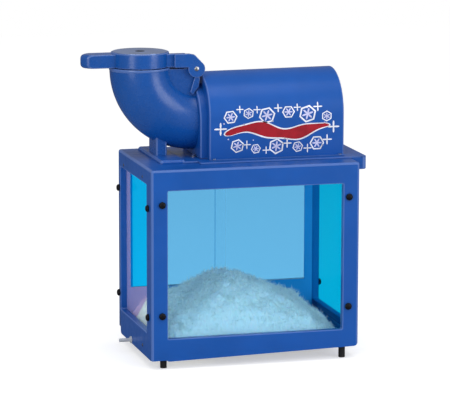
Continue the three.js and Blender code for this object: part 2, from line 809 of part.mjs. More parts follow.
function cutterHousing() {
  const front = pinFromLeft + fitGap;
  const back = front + housingLength;
  const shell = solidOf(alongX(arch(headMid, axisZ, housingRadius, plateTop + fitGap), front, back));
  const shaftHole = outside(shaftRadius + shaftClearance, boreSides);
  return geometryOf(carved(
    shell,
    rodX([headMid, axisZ], elbowRadius - elbowWall, front - overrun, front + housingLip + overrun, ringSides),
    rodX([headMid, axisZ], housingBore, front + housingLip, back - housingWall, ringSides),
    rodX([headMid, axisZ], shaftHole, front, back + overrun, boreSides),
    dischargeCut()));
}

function dischargeChute() {
  const side = slotWidth * half;
  const bottom = deckUnderside - chuteDrop;
  const outer = block(
    [slotX - chuteWall, headMid - side - chuteWall, bottom],
    [slotX + slotLength + chuteWall, headMid + side + chuteWall, deckUnderside - fitGap]);
  return geometryOf(carved(solidOf(outer), dischargeCut()));
}

// The plate's outline past the cabinet's right wall, drawn in by an inset
function wingPlan(left, inset) {
  const right = cabinetWidth + wingOverhang - inset;
  const front = plateFront + inset;
  const back = plateBack - inset;
  const corner = wingCorner - inset;
  const plan = new THREE.Shape();
  plan.moveTo(left, front);
  plan.lineTo(right - corner, front);
  plan.absarc(right - corner, front + corner, corner, -quarterTurn, 0, false);
  plan.absarc(right - corner, back - corner, corner, 0, quarterTurn, false);
  plan.lineTo(left, back);
  return plan;
}

function headBasePlate() {
  const top = plateTop;
  const bottom = deckTop + fitGap;
  const wallLeft = cabinetWidth + fitGap;
  const wing = solidOf(alongZ(wingPlan(wallLeft, 0), top - wingDrop, top, wingSides));
  const inside = wingPlan(wallLeft - overrun, plateThickness);
  const hollow = alongZ(inside, top - wingDrop - overrun, bottom, wingSides);
  const plate = solidOf(alongZ(wingPlan(plateLeft, 0), bottom, top, wingSides));
  return geometryOf(carved(wing.subtract(solidOf(hollow)).add(plate), dischargeCut()));
}

function pusherHandle() {
  const bottom = pinZ + handleGap;
  const top = bottom + handleThickness;
  const armEnd = pinFromLeft - armEndFromPin;
  const gripEnd = inletX - gripReach + gripHalfWidth;
  const grip = new THREE.Shape();
  grip.moveTo(inletX, headMid + gripHalfWidth);
  grip.lineTo(gripEnd, headMid + gripHalfWidth);
  grip.absarc(gripEnd, headMid, gripHalfWidth, quarterTurn, 3 * quarterTurn, false);
  grip.lineTo(inletX, headMid - gripHalfWidth);
  const ear = new THREE.Shape();
  ear.moveTo(armEnd - overrun, bottom);
  ear.lineTo(pinFromLeft - earRadius, bottom);
  ear.absarc(pinFromLeft, pinZ, earRadius, earHeel, earNose + 2 * Math.PI, false);
  ear.lineTo(pinFromLeft - earNeckX, top - earNeckDrop);
  ear.lineTo(pinFromLeft - earShoulderX, top);
  ear.lineTo(armEnd - overrun, top);
  const near = headMid - armHalfWidth;
  const far = headMid + armHalfWidth;
  const body = joined(
    rodZ([inletX, headMid], ringRadius, bottom, top, ringSides),
    alongZ(grip, bottom, top, gripSides),
    block([inletX, near, bottom], [armEnd, far, top]),
    alongY(ear, near, near + earWidth, earSides),
    alongY(ear, far - earWidth, far, earSides));
  const pinHole = outside(pinRadius + fitGap, boreSides);
  return geometryOf(carved(
    body,
    rodZ([inletX, headMid], ringBore, bottom - overrun, top + overrun, ringSides),
    rodY([pinFromLeft, pinZ], pinHole, near - overrun, far + overrun, boreSides)));
}

function capDisc() {
  const slot = new THREE.Shape();
  const reach = (capSlotLength - capSlotWidth) * half;
  slot.absarc(inletX + reach, headMid, capSlotWidth * half, -quarterTurn, quarterTurn, false);
  slot.absarc(inletX - reach, headMid, capSlotWidth * half, quarterTurn, 3 * quarterTurn, false);
  const bottom = pinZ + handleGap + handleThickness + fitGap;
  const disc = solidOf(rodZ([inletX, headMid], capRadius, bottom, bottom + capThickness, ringSides));
  const through = alongZ(slot, bottom - overrun, bottom + capThickness + overrun, cornerSides);
  return geometryOf(carved(disc, through));
}

// A cross-shaped bar bent like the hopper, under the plug that fills the handle's ring
function pusherHorn() {
  const plugTop = pinZ + handleGap + handleThickness;
  const plugRadius = (ringBore - fitGap) * Math.cos(Math.PI / ringSides);
  const web = hornWeb * half;
  const flange = hornFlange * half;
  const side = hornFlangeHalfWidth;
  const cross = outline([
    [-hornHalfReach, -web], [-flange, -web], [-flange, -side], [flange, -side], [flange, -web],
    [hornHalfReach, -web], [hornHalfReach, web], [flange, web], [flange, side], [-flange, side],
    [-flange, web], [-hornHalfReach, web],
  ]);
  const stem = alongZ(cross, pinZ - overrun, plugTop - plugThickness + overrun).translate(inletX, headMid, 0);
  const plug = rodZ([inletX, headMid], plugRadius, plugTop - plugThickness, plugTop, ringSides);
  const beyond = new THREE.BoxGeometry(2 * elbowRadius, 2 * elbowRadius, elbowBend);
  beyond.translate(0, 0, -elbowBend * half + pusherThickness * half + fitGap);
  return geometryOf(carved(joined(bentCross(cross), stem, plug), placeAtSwing(beyond)));
}

// The cross section carried round the bend as rings of points, one ring for each step
function bentCross(cross) {
  const points = cross.getPoints();
  const rings = bendSteps + 1;
  const vertices = [];
  for (let step = 0; step < rings; step += 1) {
    const angle = handleSwing * step / bendSteps;
    points.forEach((point) => {
      const radius = elbowBend - point.x;
      vertices.push(
        pinFromLeft - radius * Math.cos(angle), headMid + point.y, pinZ - radius * Math.sin(angle));
    });
  }
  const faces = [];
  const count = points.length;
  for (let step = 0; step < bendSteps; step += 1) {
    for (let index = 0; index < count; index += 1) {
      const next = (index + 1) % count;
      const low = step * count;
      const high = low + count;
      faces.push(low + index, high + index, high + next, low + index, high + next, low + next);
    }
  }
  const caps = THREE.ShapeUtils.triangulateShape(points, []);
  const last = bendSteps * count;
  caps.forEach(([a, b, c]) => {
    faces.push(a, b, c);
    faces.push(last + a, last + c, last + b);
  });
  const geometry = new THREE.BufferGeometry();
  geometry.setAttribute('position', new THREE.Float32BufferAttribute(vertices, 3));
  geometry.setIndex(faces);
  return geometry;
}

// Local +Z becomes the way back up the bend at the pusher's place
function placeAtSwing(geometry) {
  const place = new Bend(elbowBend, handleSwing).getPoint(1);
  return geometry.rotateY(-handleSwing).translate(place.x, place.y, place.z);
}

function addHandle() {
  addPiece(handle, 'pusher_handle', pusherHandle(), paint);
  addPiece(handle, 'cap_disc', capDisc(), satinMetal);
  addPiece(handle, 'pusher_horn', pusherHorn(), satinMetal);
  const plate = new THREE.CylinderGeometry(pusherRadius, pusherRadius, pusherThickness, ringSides);
  addPiece(handle, 'pusher_plate', placeAtSwing(plate.rotateX(quarterTurn)), satinMetal);
  const pin = rodY(
    [pinFromLeft, pinZ], pinRadius, headMid - armHalfWidth, headMid + armHalfWidth, shaftSides);
  addPiece(head, 'hinge_pin', pin, satinMetal);
}

function addCutter() {
  const front = pinFromLeft + discSetback;
  const back = front + discThickness;
  rotor.position.set(0, headMid, axisZ);
  const bladeAngles = Array.from({ length: bladeCount }, (_, index) => 2 * Math.PI * index / bladeCount);
  const slots = bladeAngles.map((angle) => block(
    [front - overrun, bladeWidth * half - bladeSlot, bladeInner],
    [back + overrun, bladeWidth * half, bladeInner + bladeLength]).rotateX(angle));
  const disc = solidOf(rodX([0, 0], discRadius, front, back, ringSides));
  const bore = rodX(
    [0, 0], outside(shaftRadius + fitGap, shaftSides), front - overrun, back + overrun, shaftSides);
  addPiece(rotor, 'cutter_disc', geometryOf(carved(disc, bore, ...slots)), satinMetal);
  bladeAngles.forEach((angle, index) => {
    const wedge = outline([
      [front - fitGap, -bladeWidth * half], [front - fitGap, bladeWidth * half],
      [front - fitGap - bladeThickness, 0], [front - fitGap - bladeThickness, -bladeWidth * half],
    ]);
    const blade = alongZ(wedge, bladeInner, bladeInner + bladeLength);
    const mesh = addPiece(rotor, `blade_${index + 1}`, blade, satinMetal);
    mesh.rotation.x = angle;
  });
  const nut = rodX([0, 0], nutHubRadius, front - fitGap - nutHubLength, front - fitGap, nutHubSides);
  addPiece(rotor, 'hub_nut', nut, satinMetal);
}

function addMotor() {
  const shellBack = motorFront + motorLength;
  const shaftFront = pinFromLeft + discSetback;
  const shaftBack = shellBack + bellThickness + shaftTail;
  const centre = [headMid, axisZ];
  const shaftBore = outside(shaftRadius + fitGap, shaftSides);
  const innerRadius = motorRadius - motorWall;
  const ring = (name, outer, inner, low, high, material) => {
    const hole = rodX(centre, outside(inner, ringSides), low - overrun, high + overrun, ringSides);
    const solid = carved(solidOf(rodX(centre, outer, low, high, ringSides)), hole);
    addPiece(head, name, geometryOf(solid), material);
  };
  ring('motor_shell', motorRadius, innerRadius, motorFront, shellBack, darkSteel);
  const statorFront = motorFront + statorSetback;
  ring('stator_pack', innerRadius - fitGap, statorBore, statorFront, statorFront + statorLength, darkSteel);
  const bell = (name, low) => {
    const hole = rodX(centre, shaftBore, low - overrun, low + bellThickness + overrun, shaftSides);
    const disc = solidOf(rodX(centre, motorRadius, low, low + bellThickness, ringSides));
    addPiece(head, name, geometryOf(carved(disc, hole)), satinMetal);
  };
  bell('front_end_bell', motorFront - fitGap - bellThickness);
  bell('rear_end_bell', shellBack + fitGap);
  const shaft = rodX([0, 0], shaftRadius, shaftFront, shaftBack, shaftSides);
  addPiece(rotor, 'motor_shaft', shaft, satinMetal);
  const sleeve = rodX([0, 0], shaftBore, 0, shaftBack + overrun, shaftSides);
  const core = solidOf(rodX(
    [0, 0], statorBore - rotorGap, statorFront, statorFront + statorLength, ringSides));
  addPiece(rotor, 'rotor_core', geometryOf(carved(core, sleeve)), darkSteel);
  const fanFront = shellBack - fanSetback;
  const hub = rodX([0, 0], fanHub, fanFront, fanFront + fanLength, shaftSides);
  const blades = Array.from({ length: fanBlades }, (_, index) => block(
    [fanFront, -fanBlade * half, 0], [fanFront + fanLength, fanBlade * half, fanRadius],
  ).rotateX(2 * Math.PI * index / fanBlades));
  addPiece(rotor, 'cooling_fan', geometryOf(carved(joined(hub, ...blades), sleeve)), blackPlastic);
  const cradleFront = motorFront + cradleInset;
  const saddle = block(
    [cradleFront, headMid - cradleHalfWidth, plateTop + fitGap],
    [cradleFront + cradleLength, headMid + cradleHalfWidth, plateTop + cradleRise]);
  const seat = rodX(centre, outside(motorRadius + fitGap, ringSides), 0, coverRight, ringSides);
  const relief = block(
    [cradleFront + cradleEndWall, 0, plateTop + fitGap + cradleFloor],
    [cradleFront + cradleLength - cradleEndWall, 2 * headMid, axisZ]);
  addPiece(head, 'motor_cradle', geometryOf(carved(solidOf(saddle), seat, relief)), darkSteel);
}

function addCover() {
  const bottom = plateTop + fitGap;
  const outer = alongX(arch(headMid, springZ, coverRadius, bottom), coverLeft, coverRight);
  const inner = alongX(
    arch(headMid, springZ, coverRadius - coverSheet, bottom - overrun),
    coverLeft + coverSheet, coverRight - coverSheet);
  const notch = alongX(
    arch(headMid, axisZ, housingRadius + 2 * fitGap, bottom - overrun),
    coverLeft - overrun, coverLeft + coverSheet + overrun);
  const reach = coverRadius + coverFlange;
  const foot = (near, far) => block(
    [coverLeft, headMid + near, bottom], [coverRight, headMid + far, bottom + coverFlangeThickness]);
  const louvres = Array.from({ length: louvreCount }, (_, index) => {
    const low = bottom + louvreRise + index * louvrePitch;
    return block(
      [coverRight - coverSheet - overrun, headMid - louvreWidth * half, low],
      [coverRight + overrun, headMid + louvreWidth * half, low + louvreHeight]);
  });
  const screwY = headMid - coverRadius - coverFlange * half;
  const screws = [['left', coverLeft + coverScrewInset], ['right', coverRight - coverScrewInset]];
  const screwBore = outside(coverScrewRadius + fitGap, boreSides);
  const screwHoles = screws.map(
    ([, x]) => rodZ([x, screwY], screwBore, bottom - overrun, bottom + overrun, boreSides));
  const rearFace = headMid + coverRadius;
  const switchPlace = [coverRight - switchFromRight, bottom + switchRise];
  const glandPlace = [coverRight - glandFromRight, bottom + glandRise];
  const rearHoles = [[switchPlace, switchBushRadius], [glandPlace, glandRadius]].map(
    ([place, radius]) => rodY(
      place, outside(radius + fitGap, boreSides), rearFace - 2 * overrun, rearFace + overrun, boreSides));
  const shell = joined(outer, foot(-reach, overrun - coverRadius), foot(coverRadius - overrun, reach));
  const cover = carved(shell, inner, notch, ...louvres, ...screwHoles, ...rearHoles);
  addPiece(head, 'motor_cover', geometryOf(cover), paint);
  screws.forEach(([side, x]) => {
    const seat = bottom + coverFlangeThickness + fitGap;
    const screw = turned([
      [0, bottom], [coverScrewRadius, bottom], [coverScrewRadius, seat], [screwHeadRadius, seat],
      [screwHeadRadius, seat + screwHeadHeight * half], [0, seat + screwHeadHeight],
    ], boreSides);
    addPiece(head, `cover_screw_${side}`, screw, satinMetal).position.set(x, screwY, 0);
  });
  addSwitch(switchPlace, rearFace);
  addGland(glandPlace, rearFace);
}

// A bat-handle switch whose body sits inside the cover, and whose lever tips about X
function addSwitch([x, z], face) {
  const inside = face - coverSheet - fitGap;
  const body = block(
    [x - switchBodyWidth * half, inside - switchBodyDepth, z - switchBodyHeight * half],
    [x + switchBodyWidth * half, inside, z + switchBodyHeight * half]);
  const bush = rodY([x, z], switchBushRadius, inside - overrun, face + switchBushLength, legSides);
  const bore = rodY(
    [x, z], outside(switchBore, boreSides), face - coverSheet, face + switchBushLength + overrun, boreSides);
  addPiece(head, 'motor_switch', geometryOf(carved(joined(body, bush), bore)), darkSteel);
  const foot = fitGap + toggleRoot * Math.sin(toggleTilt);
  const lever = turned([
    [0, foot], [toggleRoot, foot], [toggleRoot, switchBushLength + coverSheet],
    [toggleTip, switchBushLength + toggleLength], [0, switchBushLength + toggleLength + toggleTip],
  ], legSides);
  const mesh = addPiece(head, 'motor_toggle', lever, satinMetal);
  mesh.position.set(x, face - coverSheet, z);
  mesh.rotation.x = -quarterTurn - toggleTilt;
}

function addGland([x, z], face) {
  const profile = [
    [glandBore, -coverSheet - fitGap], [glandRadius, -coverSheet - fitGap], [glandRadius, fitGap],
    [glandFlangeRadius, fitGap], [glandFlangeRadius, glandLength * half], [glandRadius, glandLength],
    [glandBore, glandLength], [glandBore, -coverSheet - fitGap],
  ];
  const mesh = addPiece(head, 'power_gland', turned(profile, legSides), blackPlastic);
  mesh.position.set(x, face, z);
  mesh.rotation.x = -quarterTurn;
}

function addHead() {
  addPiece(head, 'head_base_plate', headBasePlate(), paint);
  addPiece(head, 'hopper_elbow', hopperElbow(), paint);
  addPiece(head, 'cutter_housing', cutterHousing(), paint);
  addPiece(head, 'discharge_chute', dischargeChute(), satinMetal);
}

addCabinet();
addLegs();
addDrain();
addHead();
addHandle();
addCutter();
addMotor();
addCover();

// The origin: centre of the footprint, at the height of the table
const reach = new THREE.Box3().setFromObject(machine);
const centre = reach.getCenter(new THREE.Vector3());
machine.position.set(-centre.x, -centre.y, -reach.min.z);

const group = new THREE.Group();
group.add(machine);

export default group;
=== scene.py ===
"""Dressed surfaces of a windowed ice shaver, over the shared frame.

Lengths in the formulas are millimetres from the cabinet's left front edge on the table: x runs right,
y runs back and z runs up. cab() turns them into the frame's metres.
"""
import json
import math

import bmesh
import bpy
import numpy as np
from mathutils import Matrix, Vector

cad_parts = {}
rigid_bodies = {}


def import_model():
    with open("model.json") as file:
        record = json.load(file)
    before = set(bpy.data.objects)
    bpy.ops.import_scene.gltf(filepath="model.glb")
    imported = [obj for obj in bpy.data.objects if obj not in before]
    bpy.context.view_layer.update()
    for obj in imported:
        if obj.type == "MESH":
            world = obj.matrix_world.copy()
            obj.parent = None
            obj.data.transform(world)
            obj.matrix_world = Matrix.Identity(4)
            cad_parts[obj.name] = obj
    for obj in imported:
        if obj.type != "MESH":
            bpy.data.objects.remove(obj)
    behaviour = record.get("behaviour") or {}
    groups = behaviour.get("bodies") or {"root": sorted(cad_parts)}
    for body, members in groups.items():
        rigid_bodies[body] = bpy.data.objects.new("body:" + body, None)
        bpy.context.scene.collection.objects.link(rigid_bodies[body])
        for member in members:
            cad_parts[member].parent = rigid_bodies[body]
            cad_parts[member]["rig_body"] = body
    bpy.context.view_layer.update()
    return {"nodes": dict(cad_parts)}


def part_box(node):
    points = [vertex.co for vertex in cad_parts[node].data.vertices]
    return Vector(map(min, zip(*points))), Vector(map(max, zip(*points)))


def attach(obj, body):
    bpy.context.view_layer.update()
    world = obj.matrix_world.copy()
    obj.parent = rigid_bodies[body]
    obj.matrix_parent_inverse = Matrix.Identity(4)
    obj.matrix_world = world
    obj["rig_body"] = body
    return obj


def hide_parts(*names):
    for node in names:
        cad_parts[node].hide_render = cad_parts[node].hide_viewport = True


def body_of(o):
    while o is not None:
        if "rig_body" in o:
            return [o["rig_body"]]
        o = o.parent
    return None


bl_info = {
    "name": "Windowed Ice Shaver",
    "version": (1, 0, 0),
    "blender": (4, 5, 0),
    "location": "View3D > Sidebar > Ice Shaver",
    "description": "Builds the painted cabinet, cast hopper, pusher, motor cover, windows and ice",
    "category": "Object",
}

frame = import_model()

MM = 0.001
QUARTER = math.pi / 2
HALF_TURN = math.pi
FULL_TURN = 2 * math.pi
MERGE = 0.02 * MM
ORIGIN = np.array(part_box("front_frame")[0]) * (1, 1, 0)


def node_box(node):
    """Lowest and highest corner of a frame node, in cabinet millimetres."""
    low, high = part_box(node)
    return (np.array(low) - ORIGIN) / MM, (np.array(high) - ORIGIN) / MM


def cab(points):
    """Cabinet millimetres to the frame's metres."""
    return np.asarray(points, float) * MM + ORIGIN


# Places that the pieces share, read from the frame

FRONT_LOW, FRONT_HIGH = node_box("front_frame")
PLATE_LOW, PLATE_HIGH = node_box("head_base_plate")
COVER_LOW, COVER_HIGH = node_box("motor_cover")
HOUSING_LOW, HOUSING_HIGH = node_box("cutter_housing")
ELBOW_LOW, ELBOW_HIGH = node_box("hopper_elbow")
HANDLE_LOW, HANDLE_HIGH = node_box("pusher_handle")
DISC_LOW, DISC_HIGH = node_box("cap_disc")
PIN_LOW, PIN_HIGH = node_box("hinge_pin")
HEAP_LOW, HEAP_HIGH = node_box("shaved_ice_heap")
WIDTH = FRONT_HIGH[0]
DEPTH, DECK = node_box("top_deck")[1][1:]
PIN = (PIN_LOW + PIN_HIGH) / 2
HEAD_MID = PIN[1]
INLET_X = (DISC_LOW[0] + DISC_HIGH[0]) / 2
INLET = (INLET_X, HEAD_MID)
BEND = PIN[0] - INLET_X
AXIS_Z = PIN[2] - BEND


# Grids, outlines and lofts

class Skin:
    """Points and faces gathered from patches, then welded into one mesh."""

    def __init__(self):
        self.points = []
        self.faces = []
        self.marks = []
        self.count = 0

    def add(self, points, faces, mark=0):
        """Points, and faces that count from the first of them."""
        points = np.asarray(points, float).reshape(-1, 3)
        self.points.append(points)
        self.faces.extend((np.asarray(face) + self.count).tolist() for face in faces)
        self.marks.extend([mark] * len(faces))
        self.count += len(points)
        return self

    def grid(self, points, wrap_rows=False, wrap_cols=False, keep=None, mark=0):
        """Quads between neighbouring rows and columns; keep is a mask of the cells that are filled."""
        rows, cols = points.shape[:2]
        row = np.arange(rows if wrap_rows else rows - 1)[:, None]
        col = np.arange(cols if wrap_cols else cols - 1)[None, :]
        down, along = (row + 1) % rows, (col + 1) % cols
        corners = [row * cols + col, row * cols + along, down * cols + along, down * cols + col]
        quads = np.stack(np.broadcast_arrays(*corners), axis=-1)
        quads = quads.reshape(-1, 4) if keep is None else quads[keep]
        return self.add(points, quads, mark)

    def cap(self, ring, mark=0):
        """One flat face inside a ring of points."""
        return self.add(ring, [np.arange(len(ring))], mark)

    def closed(self, rows, mark=0):
        """Rows that wrap round, with a flat face inside the first and the last."""
        return self.grid(rows, wrap_cols=True, mark=mark).cap(rows[0], mark).cap(rows[-1], mark)


def closed_outline(corners, radii, steps=6):
    """Outline through corner points, each turned by an arc: centre plus radius times a normal that turns
    evenly from one edge's normal to the next. Returns the points and their outward normals, for corners
    that run anticlockwise; a hollow corner turns the other way about its centre."""
    corners = np.asarray(corners, float)
    radii = np.broadcast_to(np.asarray(radii, float), len(corners))
    ahead = np.roll(corners, -1, 0) - corners
    ahead /= np.linalg.norm(ahead, axis=1)[:, None]
    behind = np.roll(ahead, 1, 0)
    start = np.arctan2(-behind[:, 0], behind[:, 1])
    turn = np.arctan2(behind[:, 0] * ahead[:, 1] - behind[:, 1] * ahead[:, 0], (behind * ahead).sum(1))
    reach = radii * np.tan(np.abs(turn) / 2)
    side = np.sign(turn)[:, None] * radii[:, None]
    inward = -np.stack([np.cos(start), np.sin(start)], 1)
    centre = corners - behind * reach[:, None] + inward * side
    angle = start[:, None] + turn[:, None] * np.linspace(0, 1, steps + 1)
    normal = np.stack([np.cos(angle), np.sin(angle)], -1)
    points = centre[:, None] + normal * side[:, None]
    return points.reshape(-1, 2), normal.reshape(-1, 2)


def circle_outline(centre, radius, sides):
    """Points at centre plus radius times (cosine, sine) of an evenly growing angle, and the normals."""
    angle = np.linspace(0, FULL_TURN, sides, endpoint=False)
    normal = np.stack([np.cos(angle), np.sin(angle)], 1)
    return np.asarray(centre) + radius * normal, normal


def hexagon_corners(centre, reach):
    """Six corners at a reach from a centre."""
    return [(centre[0] + reach * math.cos(a), centre[1] + reach * math.sin(a))
            for a in np.arange(6) * math.pi / 3]


def rolled(low, high, radius, steps=4, low_radius=None):
    """Edge profile of a plate as (inset, height) rows: a quarter round at each end of a straight side."""
    first = radius if low_radius is None else low_radius
    turn = np.linspace(0, QUARTER, steps + 1)
    bottom = np.stack([first * (1 - np.sin(turn)), low + first * (1 - np.cos(turn))], 1)
    top = np.stack([radius * (1 - np.cos(turn)), high - radius * (1 - np.sin(turn))], 1)
    return np.concatenate([bottom, top])


AXES = {"x": (2, 0, 1), "y": (0, 2, 1), "z": (0, 1, 2)}


def lay(plane, height, axis):
    """(u, v) in the plane and a height along the axis to (x, y, z); u and v are the other two in order."""
    plane, height = np.asarray(plane, float), np.asarray(height, float)
    stacked = np.concatenate([plane, np.broadcast_to(height[..., None], plane.shape[:-1] + (1,))], -1)
    return stacked[..., list(AXES[axis])]


def plate_rows(outline, profile, axis):
    """Every profile row is the outline moved in along its normals by the inset, at that height."""
    points, normals = outline
    rows = points[None] - profile[:, 0, None, None] * normals[None]
    return lay(rows, np.repeat(profile[:, 1, None], len(points), 1), axis)


def add_plate(skin, outline, profile, axis="z", mark=0):
    """A closed plate: its edge rows and a flat face on both sides."""
    return skin.closed(plate_rows(outline, profile, axis), mark)


def add_washer(skin, outline, profile, centre, bore, axis="z"):
    """A plate with a bore: each outline point is joined to the bore's point at the same angle, so the
    rows run from the bore's lower edge round the outside to its upper edge and close on themselves."""
    rows = plate_rows(outline, profile, axis)
    points = outline[0] - np.asarray(centre)
    unit = points / np.linalg.norm(points, axis=1)[:, None]
    hole = np.asarray(centre) + bore * unit
    low = lay(hole, np.full(len(hole), profile[0, 1]), axis)
    high = lay(hole, np.full(len(hole), profile[-1, 1]), axis)
    return skin.grid(np.concatenate([[low], rows, [high]]), True, True)


def add_lathe(skin, profile, centre, axis="z", sides=32):
    """Profile rows of (radius, height) turned about an axis through centre, given as (u, v)."""
    profile = np.asarray(profile, float)
    angle = np.linspace(0, FULL_TURN, sides, endpoint=False)
    around = np.stack([np.cos(angle), np.sin(angle)], 1)
    plane = np.asarray(centre) + profile[:, 0, None, None] * around[None]
    rows = lay(plane, np.repeat(profile[:, 1, None], len(angle), 1), axis)
    return skin.grid(rows, wrap_cols=True)


# Pieces

def weld(mesh, outward=True):
    """Merges doubles, drops empty faces and turns the faces outwards."""
    form = bmesh.new()
    form.from_mesh(mesh)
    bmesh.ops.remove_doubles(form, verts=form.verts, dist=MERGE)
    bmesh.ops.dissolve_degenerate(form, dist=MERGE / 4, edges=form.edges)
    if outward:
        bmesh.ops.recalc_face_normals(form, faces=form.faces)
    form.to_mesh(mesh)
    form.free()


def read(source, key, width=1, kind=float):
    """A mesh property of every element as one array."""
    values = np.empty(len(source) * width, kind)
    source.foreach_get(key, values)
    return values.reshape(-1, width) if width > 1 else values


RIM_WIDTH = 3.0
RIM_TURN = 0.003
SETTLED_WEIGHT = 90


def mark_rims(mesh):
    """Marks the strips of rounded edges with one in a face attribute: their area over their longest edge
    is small, and across such an edge the next face turns away, so that the mean normal is short."""
    start = read(mesh.polygons, "loop_start", 1, np.int32)
    total = read(mesh.polygons, "loop_total", 1, np.int32)
    edge = read(mesh.loops, "edge_index", 1, np.int32)
    ends = read(mesh.edges, "vertices", 2, np.int32)
    place = read(mesh.vertices, "co", 3)
    length = np.linalg.norm(place[ends[:, 0]] - place[ends[:, 1]], axis=1)[edge]
    owner = np.repeat(np.arange(len(total)), total)
    normal = np.zeros((len(ends), 3))
    np.add.at(normal, edge, read(mesh.polygons, "normal", 3)[owner])
    turn = 1 - np.linalg.norm(normal, axis=1) / np.maximum(np.bincount(edge, minlength=len(ends)), 1)
    longest = np.maximum.reduceat(length, start)
    bend = np.maximum.reduceat(turn[edge] * (length > longest[owner] / 2), start)
    rim = (read(mesh.polygons, "area") / longest < RIM_WIDTH * MM) & (bend > RIM_TURN)
    mesh.attributes.new("rim", "FLOAT", "FACE").data.foreach_set("value", rim.astype(np.float32))


def settle_normals(piece):
    """Lets large faces rule the shading, so that flat ones read flat up to their rounded edges."""
    settled = piece.modifiers.new("settled_normals", "WEIGHTED_NORMAL")
    settled.keep_sharp = True
    settled.weight = SETTLED_WEIGHT
    return piece


def finish_piece(piece, materials, body, replaced, sharp):
    """Gives a piece its materials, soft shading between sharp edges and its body. Flat faces
    with more than four corners stay flat."""
    for material in materials:
        piece.data.materials.append(material)
    corners = read(piece.data.polygons, "loop_total", 1, np.int32)
    piece.data.polygons.foreach_set("use_smooth", corners < 5)
    piece.data.set_sharp_from_angle(angle=math.radians(sharp))
    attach(piece, body)
    if replaced:
        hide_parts(*replaced)


# Angles in degrees between faces beyond which an edge reads sharp

SHARP = 32
CAST_SHARP = 34
SHEET_SHARP = 40
LEG_SHARP = 50
ICE_SHARP = 80

# Seams inside flat faces, and rounded edges, of pieces that keep the frame's own form

SEAM_ANGLE = math.radians(1)
ROUNDED_ANGLE = math.radians(38)
SHEET_ROUND = 0.4
SCREW_ROUND = 0.3


def make_piece(name, skin, materials, body, replaced=(), sharp=SHARP, settled=True):
    """One object at the origin from a gathered skin; marks choose among its materials."""
    mesh = bpy.data.meshes.new(name)
    mesh.from_pydata(cab(np.concatenate(skin.points)).tolist(), [], skin.faces)
    mesh.polygons.foreach_set("material_index", np.array(skin.marks, np.int32))
    weld(mesh)
    mark_rims(mesh)
    piece = bpy.data.objects.new(name, mesh)
    bpy.context.scene.collection.objects.link(piece)
    finish_piece(piece, materials, body, replaced, sharp)
    return settle_normals(piece) if settled else piece


def dressed_copy(node, name, material, body, width):
    """The frame node's own form, welded, freed of the seams inside flat faces, with rounded edges."""
    mesh = frame["nodes"][node].data.copy()
    mesh.name = name
    mesh.materials.clear()
    weld(mesh, outward=False)
    form = bmesh.new()
    form.from_mesh(mesh)
    bmesh.ops.dissolve_limit(form, angle_limit=SEAM_ANGLE, verts=form.verts, edges=form.edges)
    form.to_mesh(mesh)
    form.free()
    piece = bpy.data.objects.new(name, mesh)
    bpy.context.scene.collection.objects.link(piece)
    finish_piece(piece, [material], body, (node,), SHARP)
    bevel = piece.modifiers.new("rounded_edges", "BEVEL")
    bevel.limit_method = "ANGLE"
    bevel.angle_limit = ROUNDED_ANGLE
    bevel.width = width * MM
    bevel.segments = 2
    bevel.use_clamp_overlap = True
    bevel.harden_normals = True
    return piece


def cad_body(node):
    """Name of the body that a frame node rides on."""
    return body_of(frame["nodes"][node])[0]


def set_finishes(finish, groups):
    """Puts each group's finish on every material place of the frame nodes that it names."""
    for name, nodes in groups:
        for target in (frame["nodes"][node] for node in nodes):
            if not target.material_slots:
                target.data.materials.append(finish[name])
            for place in target.material_slots:
                place.material = finish[name]


# Finishes

FINISH_PREFIX = "dressed_"
# Share and pale colour of the painted highlight along rounded edges
EDGE_HIGHLIGHT_SHARE = 0.75
EDGE_HIGHLIGHT_PALE = (0.085, 0.1, 0.13)
CLEAR_TINT = (0.93, 0.96, 0.98, 1.0)


def feed(tree, node, values):
    """Sets a node's inputs, each by its name or number: a socket is joined, any other value is set."""
    for key, value in values.items():
        if isinstance(value, bpy.types.NodeSocket):
            tree.links.new(value, node.inputs[key])
        else:
            node.inputs[key].default_value = value
    return node


def add_node(tree, kind, values=None, **settings):
    """A new node with its settings and inputs."""
    node = tree.nodes.new(kind)
    for key, value in settings.items():
        setattr(node, key, value)
    return feed(tree, node, values or {})


def combined(tree, operation, *values, clamp=False):
    """A math node's output over sockets or numbers."""
    inputs = dict(enumerate(values))
    return add_node(tree, "ShaderNodeMath", inputs, operation=operation, use_clamp=clamp).outputs[0]


